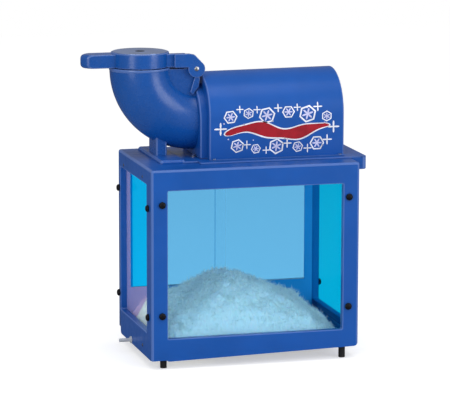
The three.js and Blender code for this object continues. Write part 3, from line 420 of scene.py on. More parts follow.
class Finish:
    """A node material with short calls to add and join nodes."""

    def __init__(self, name, colour, roughness, metallic=0.0, specular=0.5):
        self.material = bpy.data.materials.new(FINISH_PREFIX + name)
        self.material.use_nodes = True
        self.tree = self.material.node_tree
        self.shader = self.tree.nodes["Principled BSDF"]
        self.put({"Base Color": (*colour, 1.0), "Roughness": roughness, "Metallic": metallic,
                  "Specular IOR Level": specular})
        self.place = self.node("ShaderNodeTexCoord").outputs["Object"]
        self.height = None

    def put(self, values):
        """Sets or joins inputs of the surface shader."""
        feed(self.tree, self.shader, values)
        return self

    def node(self, kind, values=None, **settings):
        """A new node in this material."""
        return add_node(self.tree, kind, values, **settings)

    def mapped(self, **values):
        """The object's coordinates moved or scaled."""
        return self.node("ShaderNodeMapping", {"Vector": self.place, **values}).outputs["Vector"]

    def noise(self, scale, detail=4.0, stretch=None, roughness=0.55):
        """Smooth random values, if wished stretched along an axis."""
        place = self.mapped(Scale=stretch) if stretch else self.place
        return self.node("ShaderNodeTexNoise", {
            "Vector": place, "Scale": scale, "Detail": detail, "Roughness": roughness}).outputs["Fac"]

    def cells(self, scale):
        """Distance to the nearest point of a random cell pattern."""
        node = self.node("ShaderNodeTexVoronoi", {"Vector": self.place, "Scale": scale})
        return node.outputs["Distance"]

    def span(self, value, low, high, start=0.3, end=0.7):
        """The value's stretch from start to end, laid over low to high."""
        return self.node("ShaderNodeMapRange", {
            "Value": value, "From Min": start, "From Max": end, "To Min": low,
            "To Max": high}).outputs["Result"]

    def blend(self, share, first, second):
        """Mixes two colours, or sockets, by a share."""
        node = self.node("ShaderNodeMix", {0: share}, data_type="RGBA")
        for key, value in (("A", first), ("B", second)):
            number = next(i for i, s in enumerate(node.inputs) if s.name == key and s.type == "RGBA")
            feed(self.tree, node, {number: (*value, 1.0) if isinstance(value, tuple) else value})
        return next(s for s in node.outputs if s.type == "RGBA")

    def drifted(self, source, colour, low, high):
        """The colour times low to high, after a source of random values."""
        return self.blend(self.span(source, 0.0, 1.0), shaded(colour, low), shaded(colour, high))

    def drift(self, source, colour, low, high):
        """Lets the surface's colour drift."""
        return self.put({"Base Color": self.drifted(source, colour, low, high)})

    def worn(self, source, low, high):
        """Lets the surface's roughness vary from low to high, after a source of random values."""
        return self.put({"Roughness": self.span(source, low, high)})

    def beyond(self, direction, place, softness):
        """Nought before a place in cabinet millimetres along a direction and one past it."""
        dot = self.node("ShaderNodeVectorMath", {0: self.place, 1: direction}, operation="DOT_PRODUCT")
        edge = float(np.dot(cab(place), direction))
        half = softness * MM / 2
        return self.span(dot.outputs["Value"], 0.0, 1.0, edge - half, edge + half)

    def bump(self, height, depth):
        """Adds relief of a depth in millimetres over what is there already."""
        values = {"Strength": 1.0, "Distance": depth * MM, "Height": height}
        if self.height is not None:
            values["Normal"] = self.height
        self.height = self.node("ShaderNodeBump", values).outputs["Normal"]
        return self.put({"Normal": self.height})


def tone(red, green, blue):
    """Screen colour from 0 to 255 to the shader's linear one."""
    share = np.array([red, green, blue]) / 255
    low, high = share / 12.92, ((share + 0.055) / 1.055) ** 2.4
    return tuple(float(value) for value in np.where(share <= 0.04045, low, high))


def shaded(colour, factor):
    """A colour times a factor."""
    return tuple(float(value) * factor for value in colour)


def enamel(name, colour, roughness=0.36, peel=0.005, cast=0.0, coat=0.03, gloss=0.2):
    """Glossy enamel: a faint drift of colour, orange peel, and under it the pits of a casting. Rounded
    edges, which the pieces mark in an attribute, are painted paler: a painted highlight along them."""
    finish = Finish(name, colour, roughness, specular=gloss)
    finish.put({"Coat Weight": coat, "Coat Roughness": 0.15})
    drift = finish.drifted(finish.noise(9.0, 3.0), colour, 0.93, 1.07)
    # Rounded edges take a paler colour: a painted highlight
    rim = finish.node("ShaderNodeAttribute", attribute_name="rim").outputs["Fac"]
    edge_highlight = tuple(float(value) for value in np.array(colour) * 0.9 + EDGE_HIGHLIGHT_PALE)
    finish.put({"Base Color": finish.blend(finish.span(rim, 0.0, EDGE_HIGHLIGHT_SHARE, 0.0, 1.0), drift, edge_highlight)})
    finish.worn(finish.noise(60.0, 3.0), roughness - 0.04, roughness + 0.06)
    finish.bump(finish.noise(230.0, 1.0), peel)
    if cast:
        finish.bump(finish.noise(130.0, 4.0, roughness=0.6), cast)
    return finish.material


def brushed_metal(name, colour, roughness, stretch, depth=0.03):
    """Bare metal with fine lines drawn along one direction and a drift of roughness."""
    finish = Finish(name, colour, roughness, metallic=1.0)
    lines = finish.noise(1.0, 3.0, stretch)
    finish.worn(lines, roughness - 0.08, roughness + 0.1).drift(lines, colour, 0.86, 1.08)
    return finish.bump(lines, depth).material


def turned_metal(name, colour, roughness, centre):
    """Bare metal faced on a lathe: fine rings about an upright axis through a centre."""
    finish = Finish(name, colour, roughness, metallic=1.0)
    rings = finish.node("ShaderNodeTexWave", {
        "Vector": finish.mapped(Location=tuple(-value for value in centre)), "Scale": 260.0,
        "Distortion": 1.5, "Detail": 2.0}, wave_type="RINGS", rings_direction="Z")
    smear = finish.noise(30.0, 3.0)
    finish.worn(smear, roughness - 0.06, roughness + 0.1).drift(smear, colour, 0.9, 1.0)
    return finish.bump(rings.outputs["Fac"], 0.02).material


def cast_metal(name, colour, roughness, grain=160.0, depth=0.12, metallic=1.0):
    """Bare casting or dull metal: fine pits and a mottled tone."""
    finish = Finish(name, colour, roughness, metallic=metallic)
    pits = finish.noise(grain, 4.0)
    finish.worn(pits, roughness - 0.08, roughness + 0.1).drift(finish.noise(22.0), colour, 0.85, 1.0)
    return finish.bump(pits, depth).material


def moulded(name, colour, roughness, grain=500.0, depth=0.05, specular=0.5):
    """Moulded plastic or rubber: a fine grain and faint drift."""
    finish = Finish(name, colour, roughness, specular=specular)
    grains = finish.noise(grain, 2.0)
    finish.worn(grains, roughness - 0.05, roughness + 0.08).drift(finish.noise(40.0), colour, 0.8, 1.15)
    return finish.bump(grains, depth).material


def milky(name, colour):
    """Natural polymer, slightly see-through, with faint flow marks."""
    finish = Finish(name, colour, 0.4)
    finish.put({"Subsurface Weight": 0.25, "Subsurface Radius": (0.004, 0.004, 0.005),
                "Subsurface Scale": 1.0})
    flow = finish.noise(50.0, 3.0, (1, 4, 1))
    return finish.drift(flow, colour, 0.9, 1.0).bump(flow, 0.05).material


def tinted_pane(name, tint, ior=1.12, zones=(), reflection_haze=()):
    """Dyed acrylic. The eye sees through the tint, while lamp and diffuse light pass nearly clear, so
    that what stands behind is lit white; faint waves and wiping marks vary the gloss. Each zone is
    (colour, direction, place, softness): its colour takes over past that place along the direction.
    Reflection haze, given as zones of (share, direction, place, softness), scatters that share of the light:
    a painted reflection."""
    finish = Finish(name, tint, 0.03)
    finish.put({"Transmission Weight": 1.0, "IOR": ior})
    finish.worn(finish.noise(7.0, 4.0, (1, 1, 3)), 0.015, 0.04)
    shade = finish.drifted(finish.noise(3.0, 2.0), tint, 0.985, 1.0)
    for colour, *zone in zones:
        shade = finish.blend(finish.beyond(*zone), shade, colour)
    finish.put({"Base Color": shade})
    clearness = None
    # Each haze zone lets less light through and scatters the rest diffusely: a painted reflection
    for share, *zone in reflection_haze:
        part = finish.span(finish.beyond(*zone), 1.0, 1.0 - share, 0.0, 1.0)
        clearness = part if clearness is None else combined(finish.tree, "MINIMUM", clearness, part)
    if clearness is not None:
        finish.put({"Transmission Weight": clearness})
    finish.bump(finish.noise(5.0, 2.0), 0.12)
    path = finish.node("ShaderNodeLightPath").outputs
    either = combined(finish.tree, "MAXIMUM", path["Is Shadow Ray"], path["Is Diffuse Ray"])
    clear = finish.node("ShaderNodeBsdfTransparent", {"Color": CLEAR_TINT})
    mix = finish.node("ShaderNodeMixShader", {0: either, 1: finish.shader.outputs[0], 2: clear.outputs[0]})
    feed(finish.tree, finish.tree.nodes["Material Output"], {"Surface": mix.outputs[0]})
    return finish.material


def snow(name, colour, shade):
    """Shaved ice: soft scatter, packed grains, and painted shade: a darker colour where the grains' relief
    is low.
    """
    finish = Finish(name, colour, 0.55)
    finish.put({"Subsurface Weight": 0.6, "Subsurface Radius": (0.012, 0.015, 0.018),
                "Subsurface Scale": 1.0})
    packed = finish.noise(90.0, 6.0, roughness=0.7)
    # Low parts of the packed grains' relief take the darker shade colour: painted shade in the hollows
    finish.put({"Base Color": finish.blend(finish.span(packed, 0.0, 1.0, 0.38, 0.6), shade, colour)})
    return finish.bump(finish.cells(260.0), 0.3).bump(packed, 0.6).material


# Cabinet

FOLD = 2.0
LIP = 15.0
WALL_STEPS = 8
SKIRT_LEFT = FRONT_LOW[2]
SKIRT_RIGHT = node_box("right_frame")[0][2]
SIDE_SKIRT = node_box("left_frame")[0][2]
REAR_Y = node_box("rear_frame")[0][1]
REAR_RISE = node_box("rear_frame")[0][2]
LEG_NOTCH = 3.4
NOTCH_FROM, NOTCH_LENGTH = 32.0, 9.0
OPENING_RADIUS = 3.0
EDGE_POINTS = 6
CORNER_RUN_LEFT, CORNER_RUN_RIGHT = 44.0, 13.0
SKIRT_ROUND = 12.0
SIDE_FOOT = 2.0
LEFT_ROUND = 2.0
RIGHT_ROUND = 12.0
FRONT_OPENING = (37.6, 69.0, WIDTH - 37.6, 402.0)
SIDE_OPENING = (46.0, 76.5, 301.0, 411.5)
CHUTE_SHEET = 1.5
SLOT_LOW = node_box("discharge_chute")[0] + CHUTE_SHEET
SLOT_HIGH = node_box("discharge_chute")[1] - CHUTE_SHEET


def eased(value):
    """Cubic ease from nought to one."""
    value = np.clip(value, 0, 1)
    return value * value * (3 - 2 * value)


def skirt_at(x):
    """Height of the sloping line that the cabinet's lower edge follows."""
    return SKIRT_LEFT + (SKIRT_RIGHT - SKIRT_LEFT) * x / WIDTH


def front_low(x):
    """Height of the front's lower edge: the sloping line, a step up over the left leg, and the square of
    a root's complement where the corners are rounded."""
    x = np.asarray(x, float)
    step = LEG_NOTCH * (1 - eased((x - NOTCH_FROM) / NOTCH_LENGTH))
    left = LEFT_ROUND * (1 - np.sqrt(np.clip(x / LEFT_ROUND, 0, 1))) ** 2
    right = RIGHT_ROUND * (1 - np.sqrt(np.clip((WIDTH - x) / RIGHT_ROUND, 0, 1))) ** 2
    return skirt_at(x) + step + left + right


def parabola(start, corner, end, count):
    """Points (1-t)^2 start + 2t(1-t) corner + t^2 end."""
    share = np.linspace(0, 1, count)[:, None]
    start, corner, end = (np.asarray(point, float) for point in (start, corner, end))
    return (1 - share) ** 2 * start + 2 * share * (1 - share) * corner + share ** 2 * end


def box_corners(low_u, low_v, high_u, high_v):
    """Corners of a rectangle, anticlockwise."""
    return np.array([[low_u, low_v], [high_u, low_v], [high_u, high_v], [low_u, high_v]], float)


def slot_corners():
    """Corners of the discharge slot."""
    return box_corners(*SLOT_LOW[:2], *SLOT_HIGH[:2])


def window_wall(outer, opening, lay_down):
    """A wall about an opening: rows run from the wall's outer points to the opening's rounded outline,
    turn inwards over a quarter round of the fold, and go on as the returned lip."""
    points, normals = closed_outline(box_corners(*opening), OPENING_RADIUS, WALL_STEPS)
    turn = np.linspace(0, QUARTER, 5)
    reach, depth = FOLD * (1 - np.sin(turn)), FOLD * (1 - np.cos(turn))
    rows = points[None] + reach[:, None, None] * normals[None]
    rows = np.concatenate([outer[None], rows, rows[-1:]])
    depths = np.concatenate([[0], depth, [LIP]])
    return lay_down(rows, np.repeat(depths[:, None], len(points), 1))


def wall_points(low_left, low_right, high_right, high_left):
    """Outer points of a wall, one run of them for each corner of its opening."""
    count = WALL_STEPS + 1
    runs = [np.asarray(run, float).reshape(-1, 2) for run in (low_left, low_right, high_right, high_left)]
    return np.concatenate([np.concatenate([run, np.repeat(run[-1:], count - len(run), 0)]) for run in runs])


def front_wall(corner, top):
    """The front wall, its lower edge run out towards both corners."""
    first = np.linspace(corner, CORNER_RUN_LEFT, WALL_STEPS + 1)
    last = np.linspace(WIDTH - CORNER_RUN_RIGHT, WIDTH - corner, WALL_STEPS + 1)
    outer = wall_points(np.stack([first, front_low(first)], 1), np.stack([last, front_low(last)], 1),
                        (WIDTH - corner, top), (corner, top))
    return window_wall(outer, FRONT_OPENING, lambda uv, d: np.stack([uv[..., 0], d, uv[..., 1]], -1))


def side_wall(x, way, corner, top, skirt, notch):
    """A side wall, rounded below at its front, and below at its rear up to the notch behind it."""
    front = float(front_low(x))
    low_left = parabola((corner, front), (corner, skirt), (corner + front - skirt + SIDE_FOOT, skirt),
                        WALL_STEPS + 1)
    rear = parabola((REAR_Y - SKIRT_ROUND, skirt), (REAR_Y, skirt), (REAR_Y, skirt + SKIRT_ROUND),
                    WALL_STEPS - 1)
    low_right = np.concatenate([rear, [[REAR_Y, notch], [DEPTH, notch]]])
    outer = wall_points(low_left, low_right, (DEPTH, top), (corner, top))
    return window_wall(outer, SIDE_OPENING,
                       lambda uv, d: np.stack([x + way * d, uv[..., 0], uv[..., 1]], -1))


def build_cabinet(corner):
    """The welded cabinet: flat walls about the openings, quarter rounds along the edges, an eighth of a
    sphere at both front top corners, the rear returns, and the deck about the discharge slot."""
    skin = Skin()
    top = DECK - corner
    turn = np.linspace(0, QUARTER, EDGE_POINTS)
    sine, cosine = np.sin(turn), np.cos(turn)
    skin.grid(front_wall(corner, top), wrap_cols=True)
    for x, way, skirt, lip_mark in ((0.0, 1.0, SIDE_SKIRT, 0), (WIDTH, -1.0, SKIRT_RIGHT, 1)):
        notch = max(REAR_RISE, skirt + SKIRT_ROUND)
        rows = side_wall(x, way, corner, top, skirt, notch)
        skin.grid(rows[:-1], wrap_cols=True)
        skin.grid(rows[-2:], wrap_cols=True, mark=lip_mark)
        edge_x = x + way * corner * (1 - sine)
        edge_y = corner * (1 - cosine)
        upright = np.stack([np.stack([edge_x, edge_y, front_low(edge_x)], 1),
                            np.stack([edge_x, edge_y, np.full(EDGE_POINTS, top)], 1)])
        skin.grid(upright[:, ::-1])
        ball = np.stack([x + way * corner * (1 - np.outer(cosine, sine)),
                         corner * (1 - np.outer(cosine, cosine)),
                         top + corner * np.repeat(sine[:, None], EDGE_POINTS, 1)], -1)
        skin.grid(ball)
        rail = np.stack([x + way * corner * (1 - cosine), np.full(EDGE_POINTS, corner),
                         top + corner * sine], 1)
        skin.grid(np.stack([rail, rail * (1, 0, 1) + (0, DEPTH, 0)]))
        outer_x = np.array([x, *rail[:-1, 0]])
        height = np.array([notch, *rail[:-1, 2]])
        inner_x = np.full(len(height), x + way * LIP)
        skin.grid(np.stack([np.stack([edge, np.full(len(height), DEPTH), height], 1)
                            for edge in (outer_x, inner_x)]))
    rail = np.stack([np.full(EDGE_POINTS, corner), corner * (1 - cosine), top + corner * sine], 1)
    skin.grid(np.stack([rail, rail * (0, 1, 1) + (WIDTH - corner, 0, 0)]))
    deck = box_corners(corner, corner, WIDTH - corner, DEPTH)
    skin.grid(lay(np.stack([deck, slot_corners()]), np.full((2, 4), DECK), "z"), wrap_cols=True)
    return skin


PAN_GAP = 0.2
# Each rivet's y, z, radius and rise
RIVETS = ((263, 420, 3.4, 1.3), (83, 423, 3.4, 1.3), (85, 40, 4.0, 1.8))
RIVET_ROOT = 0.3


def lift_left_edge(piece):
    """Raises the floor pan behind the step in the skirt: the step's height times the share of the way
    from the right wall."""
    mesh = piece.data
    points = read(mesh.vertices, "co", 3)
    share = 1 - (points[:, 0] - ORIGIN[0]) / (WIDTH * MM)
    points[:, 2] += (LEG_NOTCH + PAN_GAP) * MM * share
    mesh.vertices.foreach_set("co", points.ravel())
    mesh.update()


def build_rivets():
    """Rivet heads on both side walls' bands and a fixing screw at their feet: low domes, each a quarter
    of an ellipse turned about the rivet."""
    skin = Skin()
    turn = np.linspace(0, QUARTER, 6)
    for y, z, radius, rise in RIVETS:
        for x, way in ((0.0, -1.0), (WIDTH, 1.0)):
            dome = ((radius * math.cos(a), way * rise * math.sin(a)) for a in turn)
            profile = [(0, -way * RIVET_ROOT), *dome]
            add_lathe(skin, np.array(profile) + (0, x), (y, z), "x", 20)
    return skin


# Ice

HEAP_SHARE = np.array([0.02, 0.08, 0.155, 0.22, 0.28, 0.40, 0.455, 0.51, 0.585, 0.655, 0.715, 0.79,
                       0.82, 0.865, 0.92, 0.968, 1.0])
HEAP_RISE = np.array([0.44, 0.62, 0.73, 0.77, 0.85, 0.985, 0.98, 0.94, 0.85, 0.745, 0.665, 0.575, 0.465,
                      0.34, 0.22, 0.09, 0.03])
HEAP_PEAK = 160.0
HEAP_RIDGE_Y = 165.0
HEAP_EDGE = 0.42
SHOULDER_DROP, SHOULDER_REACH = 30.0, 8.0
LUMP_RISE, LUMP_LENGTH = 3.0, 37.0
CLOD_RISE, CLOD_LENGTH, CLOD_BEND = 3.0, 11.0, 23.0
ICE_FLOOR = 2.5
ICE_LEAST = 4.0
ICE_MARGIN = 0.5
NOISE_CELLS = (14, 6, 2.6, 1.7)
SHAKE_CELLS = (6, 2.6)
DENT_CELLS = (3, 1.6)
SMALL_SHARE, FINE_SHARE, SHAKE_SHARE, DENT_SHARE = 0.8, 0.6, 0.6, 0.7
CALM_BAND = 8.0
HEAP_COLS, HEAP_ROWS, HEAP_LAYERS = 320, 205, 26
FLAKE_LENGTHS = (5.0, 15.0)
FLAKE_HALVES = (0.6, 1.7)
FLAKE_MARGIN, FLAKE_FRONT = 6.0, 4.0
FLAKE_TOP, FLAKE_LIFT = 5.0, 1.0
FLAKE_LEAN = 0.9
FLAKE_FLATNESS = 0.5


def heap_height(x, y):
    """Height of the shaved ice: the ridge's share at x, times one less a square of the way towards front
    and back, plus the frame's lumps (a sine along x by a cosine along y) and its clods, less a shoulder
    that falls off exponentially from the front window."""
    reach = np.where(y < HEAP_RIDGE_Y, HEAP_RIDGE_Y - HEAP_LOW[1], HEAP_HIGH[1] - HEAP_RIDGE_Y)
    away = (y - HEAP_RIDGE_Y) / reach
    ridge = np.interp(x / WIDTH, HEAP_SHARE, HEAP_RISE)
    lump = LUMP_RISE * np.sin(x / LUMP_LENGTH) * np.cos(2 * y / LUMP_LENGTH)
    clod = CLOD_RISE * np.sin(x / CLOD_LENGTH + np.sin(y / CLOD_BEND)) * np.cos(y / CLOD_LENGTH)
    shoulder = SHOULDER_DROP * np.exp((HEAP_LOW[1] - y) / SHOULDER_REACH)
    return HEAP_PEAK * ridge * (1 - (1 - HEAP_EDGE) * away * away) + lump + clod - shoulder


def value_noise(shape, cell, seed):
    """Smooth noise: random values on a coarse lattice, carried between its points by a cubic ease. The
    cell is the lattice's step, counted in points of the shape."""
    random = np.random.default_rng(seed)
    rows, cols = (int(math.ceil(size / cell)) + 2 for size in shape)
    lattice = random.uniform(-1, 1, (rows, cols))
    u, v = np.arange(shape[0]) / cell, np.arange(shape[1]) / cell
    i, j = u.astype(int), v.astype(int)
    s, t = eased(u - i)[:, None], eased(v - j)[None]
    near = lattice[i][:, j] * (1 - t) + lattice[i][:, j + 1] * t
    far = lattice[i + 1][:, j] * (1 - t) + lattice[i + 1][:, j + 1] * t
    return near * (1 - s) + far * s


def mixed_noise(shape, cells, seeds, part, bent=np.asarray):
    """Noise of a first cell size plus a part of noise of a second one, each bent by a function."""
    first, second = (bent(value_noise(shape, cell, seed)) for cell, seed in zip(cells, seeds))
    return first + part * second


def heap_top(x, y, lump, crumb):
    """Upper surface of the heap over a grid of x and y, with noise of four sizes added."""
    shape = x.shape
    wide, middle, small, fine = (value_noise(shape, cell, 2 + number)
                                 for number, cell in enumerate(NOISE_CELLS))
    rough = lump * wide + crumb * middle
    rough += SMALL_SHARE * crumb * small + FINE_SHARE * crumb * np.abs(fine)
    floor = skirt_at(x) + ICE_FLOOR
    return floor, floor + np.clip(heap_height(x, y) + rough, ICE_LEAST, HEAP_HIGH[2] - floor - ICE_MARGIN)


def build_heap(lump, crumb):
    """A closed height field over the sloping floor; its surface is shaken sideways as well, so that
    lumps overhang, and its four sides are shaken inwards."""
    x = np.linspace(HEAP_LOW[0] + ICE_MARGIN, HEAP_HIGH[0] - ICE_MARGIN, HEAP_COLS)
    y = np.linspace(HEAP_LOW[1] + ICE_MARGIN, HEAP_HIGH[1] - ICE_MARGIN, HEAP_ROWS)
    grid_x, grid_y = np.meshgrid(x, y)
    shape = grid_x.shape
    floor, top = heap_top(grid_x, grid_y, lump, crumb)
    edge = np.minimum.reduce([grid_x - x[0], x[-1] - grid_x, grid_y - y[0], y[-1] - grid_y])
    calm = np.clip(edge / CALM_BAND, 0, 1)
    shake_x, shake_y = (crumb * calm * mixed_noise(shape, SHAKE_CELLS, seed, SHAKE_SHARE)
                        for seed in ((6, 7), (8, 9)))
    upper = np.stack([grid_x + shake_x, grid_y + shake_y, top], -1)
    lower = np.stack([grid_x, grid_y, floor], -1)
    skin = Skin()
    skin.grid(upper)
    share = np.linspace(0, 1, HEAP_LAYERS)[:, None, None]
    feet = []
    sides = ((upper[0], lower[0], (0, 1, 0)), (upper[:, -1], lower[:, -1], (-1, 0, 0)),
             (upper[-1, ::-1], lower[-1, ::-1], (0, -1, 0)), (upper[::-1, 0], lower[::-1, 0], (1, 0, 0)))
    for seed, (high, low, inward) in enumerate(sides):
        rows_down = high[None] * (1 - share) + low[None] * share
        shape = rows_down.shape[:2]
        dent = mixed_noise(shape, DENT_CELLS, (20 + seed, 30 + seed), DENT_SHARE, np.abs)
        fade = np.sin(HALF_TURN * share[..., 0]) ** 0.5 * np.sin(
            HALF_TURN * np.linspace(0, 1, shape[1]))[None] ** 0.2
        skin.grid(rows_down + (crumb * dent * fade)[..., None] * np.array(inward, float))
        feet.append(low[:-1])
    return skin.cap(np.concatenate(feet))


def build_flakes(count):
    """Loose flakes on the heap: each is a slim pyramid on three sides, its tip a random way upwards and
    outwards from a random place on the surface."""
    random = np.random.default_rng(11)
    x = random.uniform(HEAP_LOW[0] + FLAKE_MARGIN, HEAP_HIGH[0] - FLAKE_MARGIN, count)
    y = random.uniform(HEAP_LOW[1] + FLAKE_FRONT, HEAP_HIGH[1] - FLAKE_MARGIN, count)
    surface = skirt_at(x) + ICE_FLOOR + np.maximum(heap_height(x, y), ICE_LEAST)
    root = np.stack([x, y, np.minimum(surface, HEAP_HIGH[2] - FLAKE_TOP) + FLAKE_LIFT], 1)
    way = random.normal(0, 1, (count, 3)) + (0, 0, FLAKE_LEAN)
    way[:, 2] = np.abs(way[:, 2])
    way /= np.linalg.norm(way, axis=1)[:, None]
    across = np.cross(way, random.normal(0, 1, (count, 3)))
    across /= np.linalg.norm(across, axis=1)[:, None]
    over = np.cross(way, across)
    length = random.uniform(*FLAKE_LENGTHS, count)[:, None]
    half = random.uniform(*FLAKE_HALVES, count)[:, None]
    turn = np.arange(3) * FULL_TURN / 3
    ring = [root - way + half * (math.cos(a) * across + math.sin(a) * FLAKE_FLATNESS * over)
            for a in turn]
    points = np.stack([*ring, root + way * length], 1)
    points = np.clip(points, HEAP_LOW + ICE_MARGIN, HEAP_HIGH - (ICE_MARGIN, ICE_MARGIN, 0))
    faces = np.array([[2, 1, 0], [0, 1, 3], [1, 2, 3], [2, 0, 3]])
    return Skin().add(points, (faces[None] + 4 * np.arange(count)[:, None, None]).reshape(-1, 3))


# Knobs and legs

KNOB_TIP, KNOB_RIM, KNOB_RADIUS = 7.0, 2.2, 8.0
KNOB_GAP, KNOB_ROUND = 0.3, 0.6
STUD_RADIUS = 3.0
KNOB_SIDES = 40
NUT_THICK, NUT_EDGE = 2.7, 0.4
NUT_LARGE, NUT_SMALL = 5.0, 3.3
LONG_STUD = 15.0
# Radius and height from the floor up, then radius and depth from the top down
LEG_FOOT = ((0, 0), (6.6, 0), (7.3, 0.5), (7.5, 1.4), (7.5, 5.2), (7.2, 5.6), (7.2, 6.2), (7.5, 6.6))
LEG_TOP = ((7.5, 0.6), (7.1, 0), (0, 0))


def build_knob(node, axis, way, lobes, swell):
    """A thumb knob: a dome whose radius swells with the cosine of a whole number of lobes, over a
    straight stud with a nut where the frame's own knob has one."""
    low, high = node_box(node)
    order = {"x": (1, 2, 0), "y": (0, 2, 1)}[axis]
    middle = ((low + high) / 2)[list(order[:2])]
    tip, stud, radius, rim = KNOB_TIP, STUD_RADIUS, KNOB_RADIUS, KNOB_RIM
    end = (high - low)[order[2]] - tip
    flat = (low[order[2]] if way < 0 else high[order[2]]) - way * tip
    turn = np.linspace(0, QUARTER, 7)[1:-1]
    crown = [(radius * math.cos(a) ** 0.7, rim + (tip - rim) * math.sin(a)) for a in turn]
    profile = np.array([
        (stud, NUT_THICK - end), (stud, KNOB_GAP), (radius - KNOB_ROUND, KNOB_GAP),
        (radius, KNOB_GAP + KNOB_ROUND), (radius, rim), *crown, (0.0, tip)])
    angle = np.linspace(0, FULL_TURN, KNOB_SIDES, endpoint=False)
    lobed = np.where(profile[:, 0, None] > stud, 1 - swell + swell * np.cos(lobes * angle)[None], 1.0)
    plane = profile[:, 0, None, None] * lobed[..., None] * np.stack([np.cos(angle), np.sin(angle)], 1)
    skin = Skin()
    height = flat + way * np.repeat(profile[:, 1, None], KNOB_SIDES, 1)
    skin.grid(lay(middle + plane, height, axis), wrap_cols=True)
    nut = NUT_LARGE if end > LONG_STUD else NUT_SMALL
    first, last = sorted((flat - way * end, flat - way * (end - NUT_THICK)))
    return add_plate(skin, closed_outline(hexagon_corners(middle, nut), NUT_EDGE, 2),
                     rolled(first, last, NUT_EDGE, 2), axis)


def build_leg(node):
    """A rubber leg turned about its upright: a flared foot, a groove and a straight neck."""
    low, high = node_box(node)
    centre = ((low + high) / 2)[:2]
    profile = [*LEG_FOOT, *((radius, high[2] - depth) for radius, depth in LEG_TOP)]
    return add_lathe(Skin(), profile, centre, "z", 36)


# Cast head

TUBE = 68.6
TUBE_WALL = 5.0
RIM = 3.0
LUG_HALF = 38.0
RING = 65.5
RING_BORE = 58.0
RING_RISE = 2.6
LEVER_RISE = 2.6
NOSE_EDGE = 9.0
STEP_BACK = 9.0
GRIP_HALF = 23.5
ARM_HALF = 50.0
ARM_END = PIN[0] - 22.0
GRIP_TIP = HANDLE_LOW[0] + GRIP_HALF
LEVER_LOW = PIN[2] + 4.0
LEVER_HIGH = HANDLE_HIGH[2] + LEVER_RISE
EAR_START = ARM_END - 29.0
DISC_HOLE = 11.0
DISC_EDGE = 0.6
DISC_TRIM = 2.0
EAR = 19.5
EAR_THICK = 11.0
FAR_DROP = 10.0
DROP_FROM = HEAD_MID - ARM_HALF + 12
DROP_REACH = 2 * ARM_HALF - 20
EAR_SHOULDER, EAR_NECK, EAR_DROP = 16.0, 4.5, 2.6
EAR_LOW_ROUNDS, EAR_CURVE, EAR_HIGH_ROUNDS = (2.0, 1.2), 12.0, (3.0, 5.0, 2.0)
EAR_EDGE, EAR_LIFT, EAR_SINK = 1.5, 0.2, 0.1
ARM_SINK, ARM_ROUND = 4.0, 2.5
GRIP_SINK, GRIP_ROUND, NOSE_START = 1.0, 2.5, 4.0
RING_DROP = 0.3
BEND_START = 0.001
MOUTH_IN, MOUTH_DOWN = 0.6, 0.4
WEB_SINK, WEB_PIN_ROUND, WEB_ROUND, CAST_CURVE = 3.0, 3.0, 2.5, 20.0
BOSS, BOSS_PROUD, BOSS_EDGE = 15.0, 0.2, 1.2
RIB_FRONT, RIB_BACK, RIB_ROUND = 7.0, 12.0, 2.2
FOOT_GAP = 0.3
STAND_ROUND, STAND_EDGE = 4.0, 1.0
PAD_ROUND = 6.0
LEDGE_INSET, LEDGE_GAP, LEDGE_ROUND, LEDGE_EDGE = 0.4, 0.1, 2.0, 1.0
PLUG_FIT, PLUG_LOW, PLUG_HIGH, PLUG_EDGE = 0.4, 1.8, 1.0, 0.1
RIB_CORNERS = ((126, 599), (133, 594), (146, 611), (149, 633), (136.5, 633))
STAND_LEFT, STAND_RIGHT, STAND_HALF = 49.5, 75.0, 35.0
PAD_LEFT, PAD_RIGHT = 41.0, 99.0
LEDGE_LEFT, LEDGE_RIGHT, LEDGE_RISE = 43.0, 127.6, 3.5
# Inset and height of the pad's sloped edge
PAD_SLOPE = ((0, 0), (0, LEDGE_RISE), (0.5, 4.2), (3.2, 7.0), (4.4, 7.5))
PIN_RADIUS, PIN_DOME = 5.5, 1.6
CAST_ROUND = 1.6


def bend_rings(profile, sides):
    """Rings about the hopper's centreline. Each profile row is (radius, way): the way is a length up the
    straight inlet where it is above zero, and below zero an angle down the bend about the pin. A ring's
    point is the centre plus radius times (cosine outwards from the pin, sine across)."""
    profile = np.asarray(profile, float)
    radius, way = profile[:, 0, None], profile[:, 1, None]
    angle = np.where(way < 0, -way, 0)
    lift = np.where(way > 0, way, 0)
    around = np.linspace(0, FULL_TURN, sides, endpoint=False)[None]
    reach = BEND + radius * np.cos(around)
    x = PIN[0] - reach * np.cos(angle)
    z = PIN[2] - reach * np.sin(angle) + lift
    y = HEAD_MID + radius * np.sin(around) + 0 * angle
    return np.stack([x, y, z], -1)


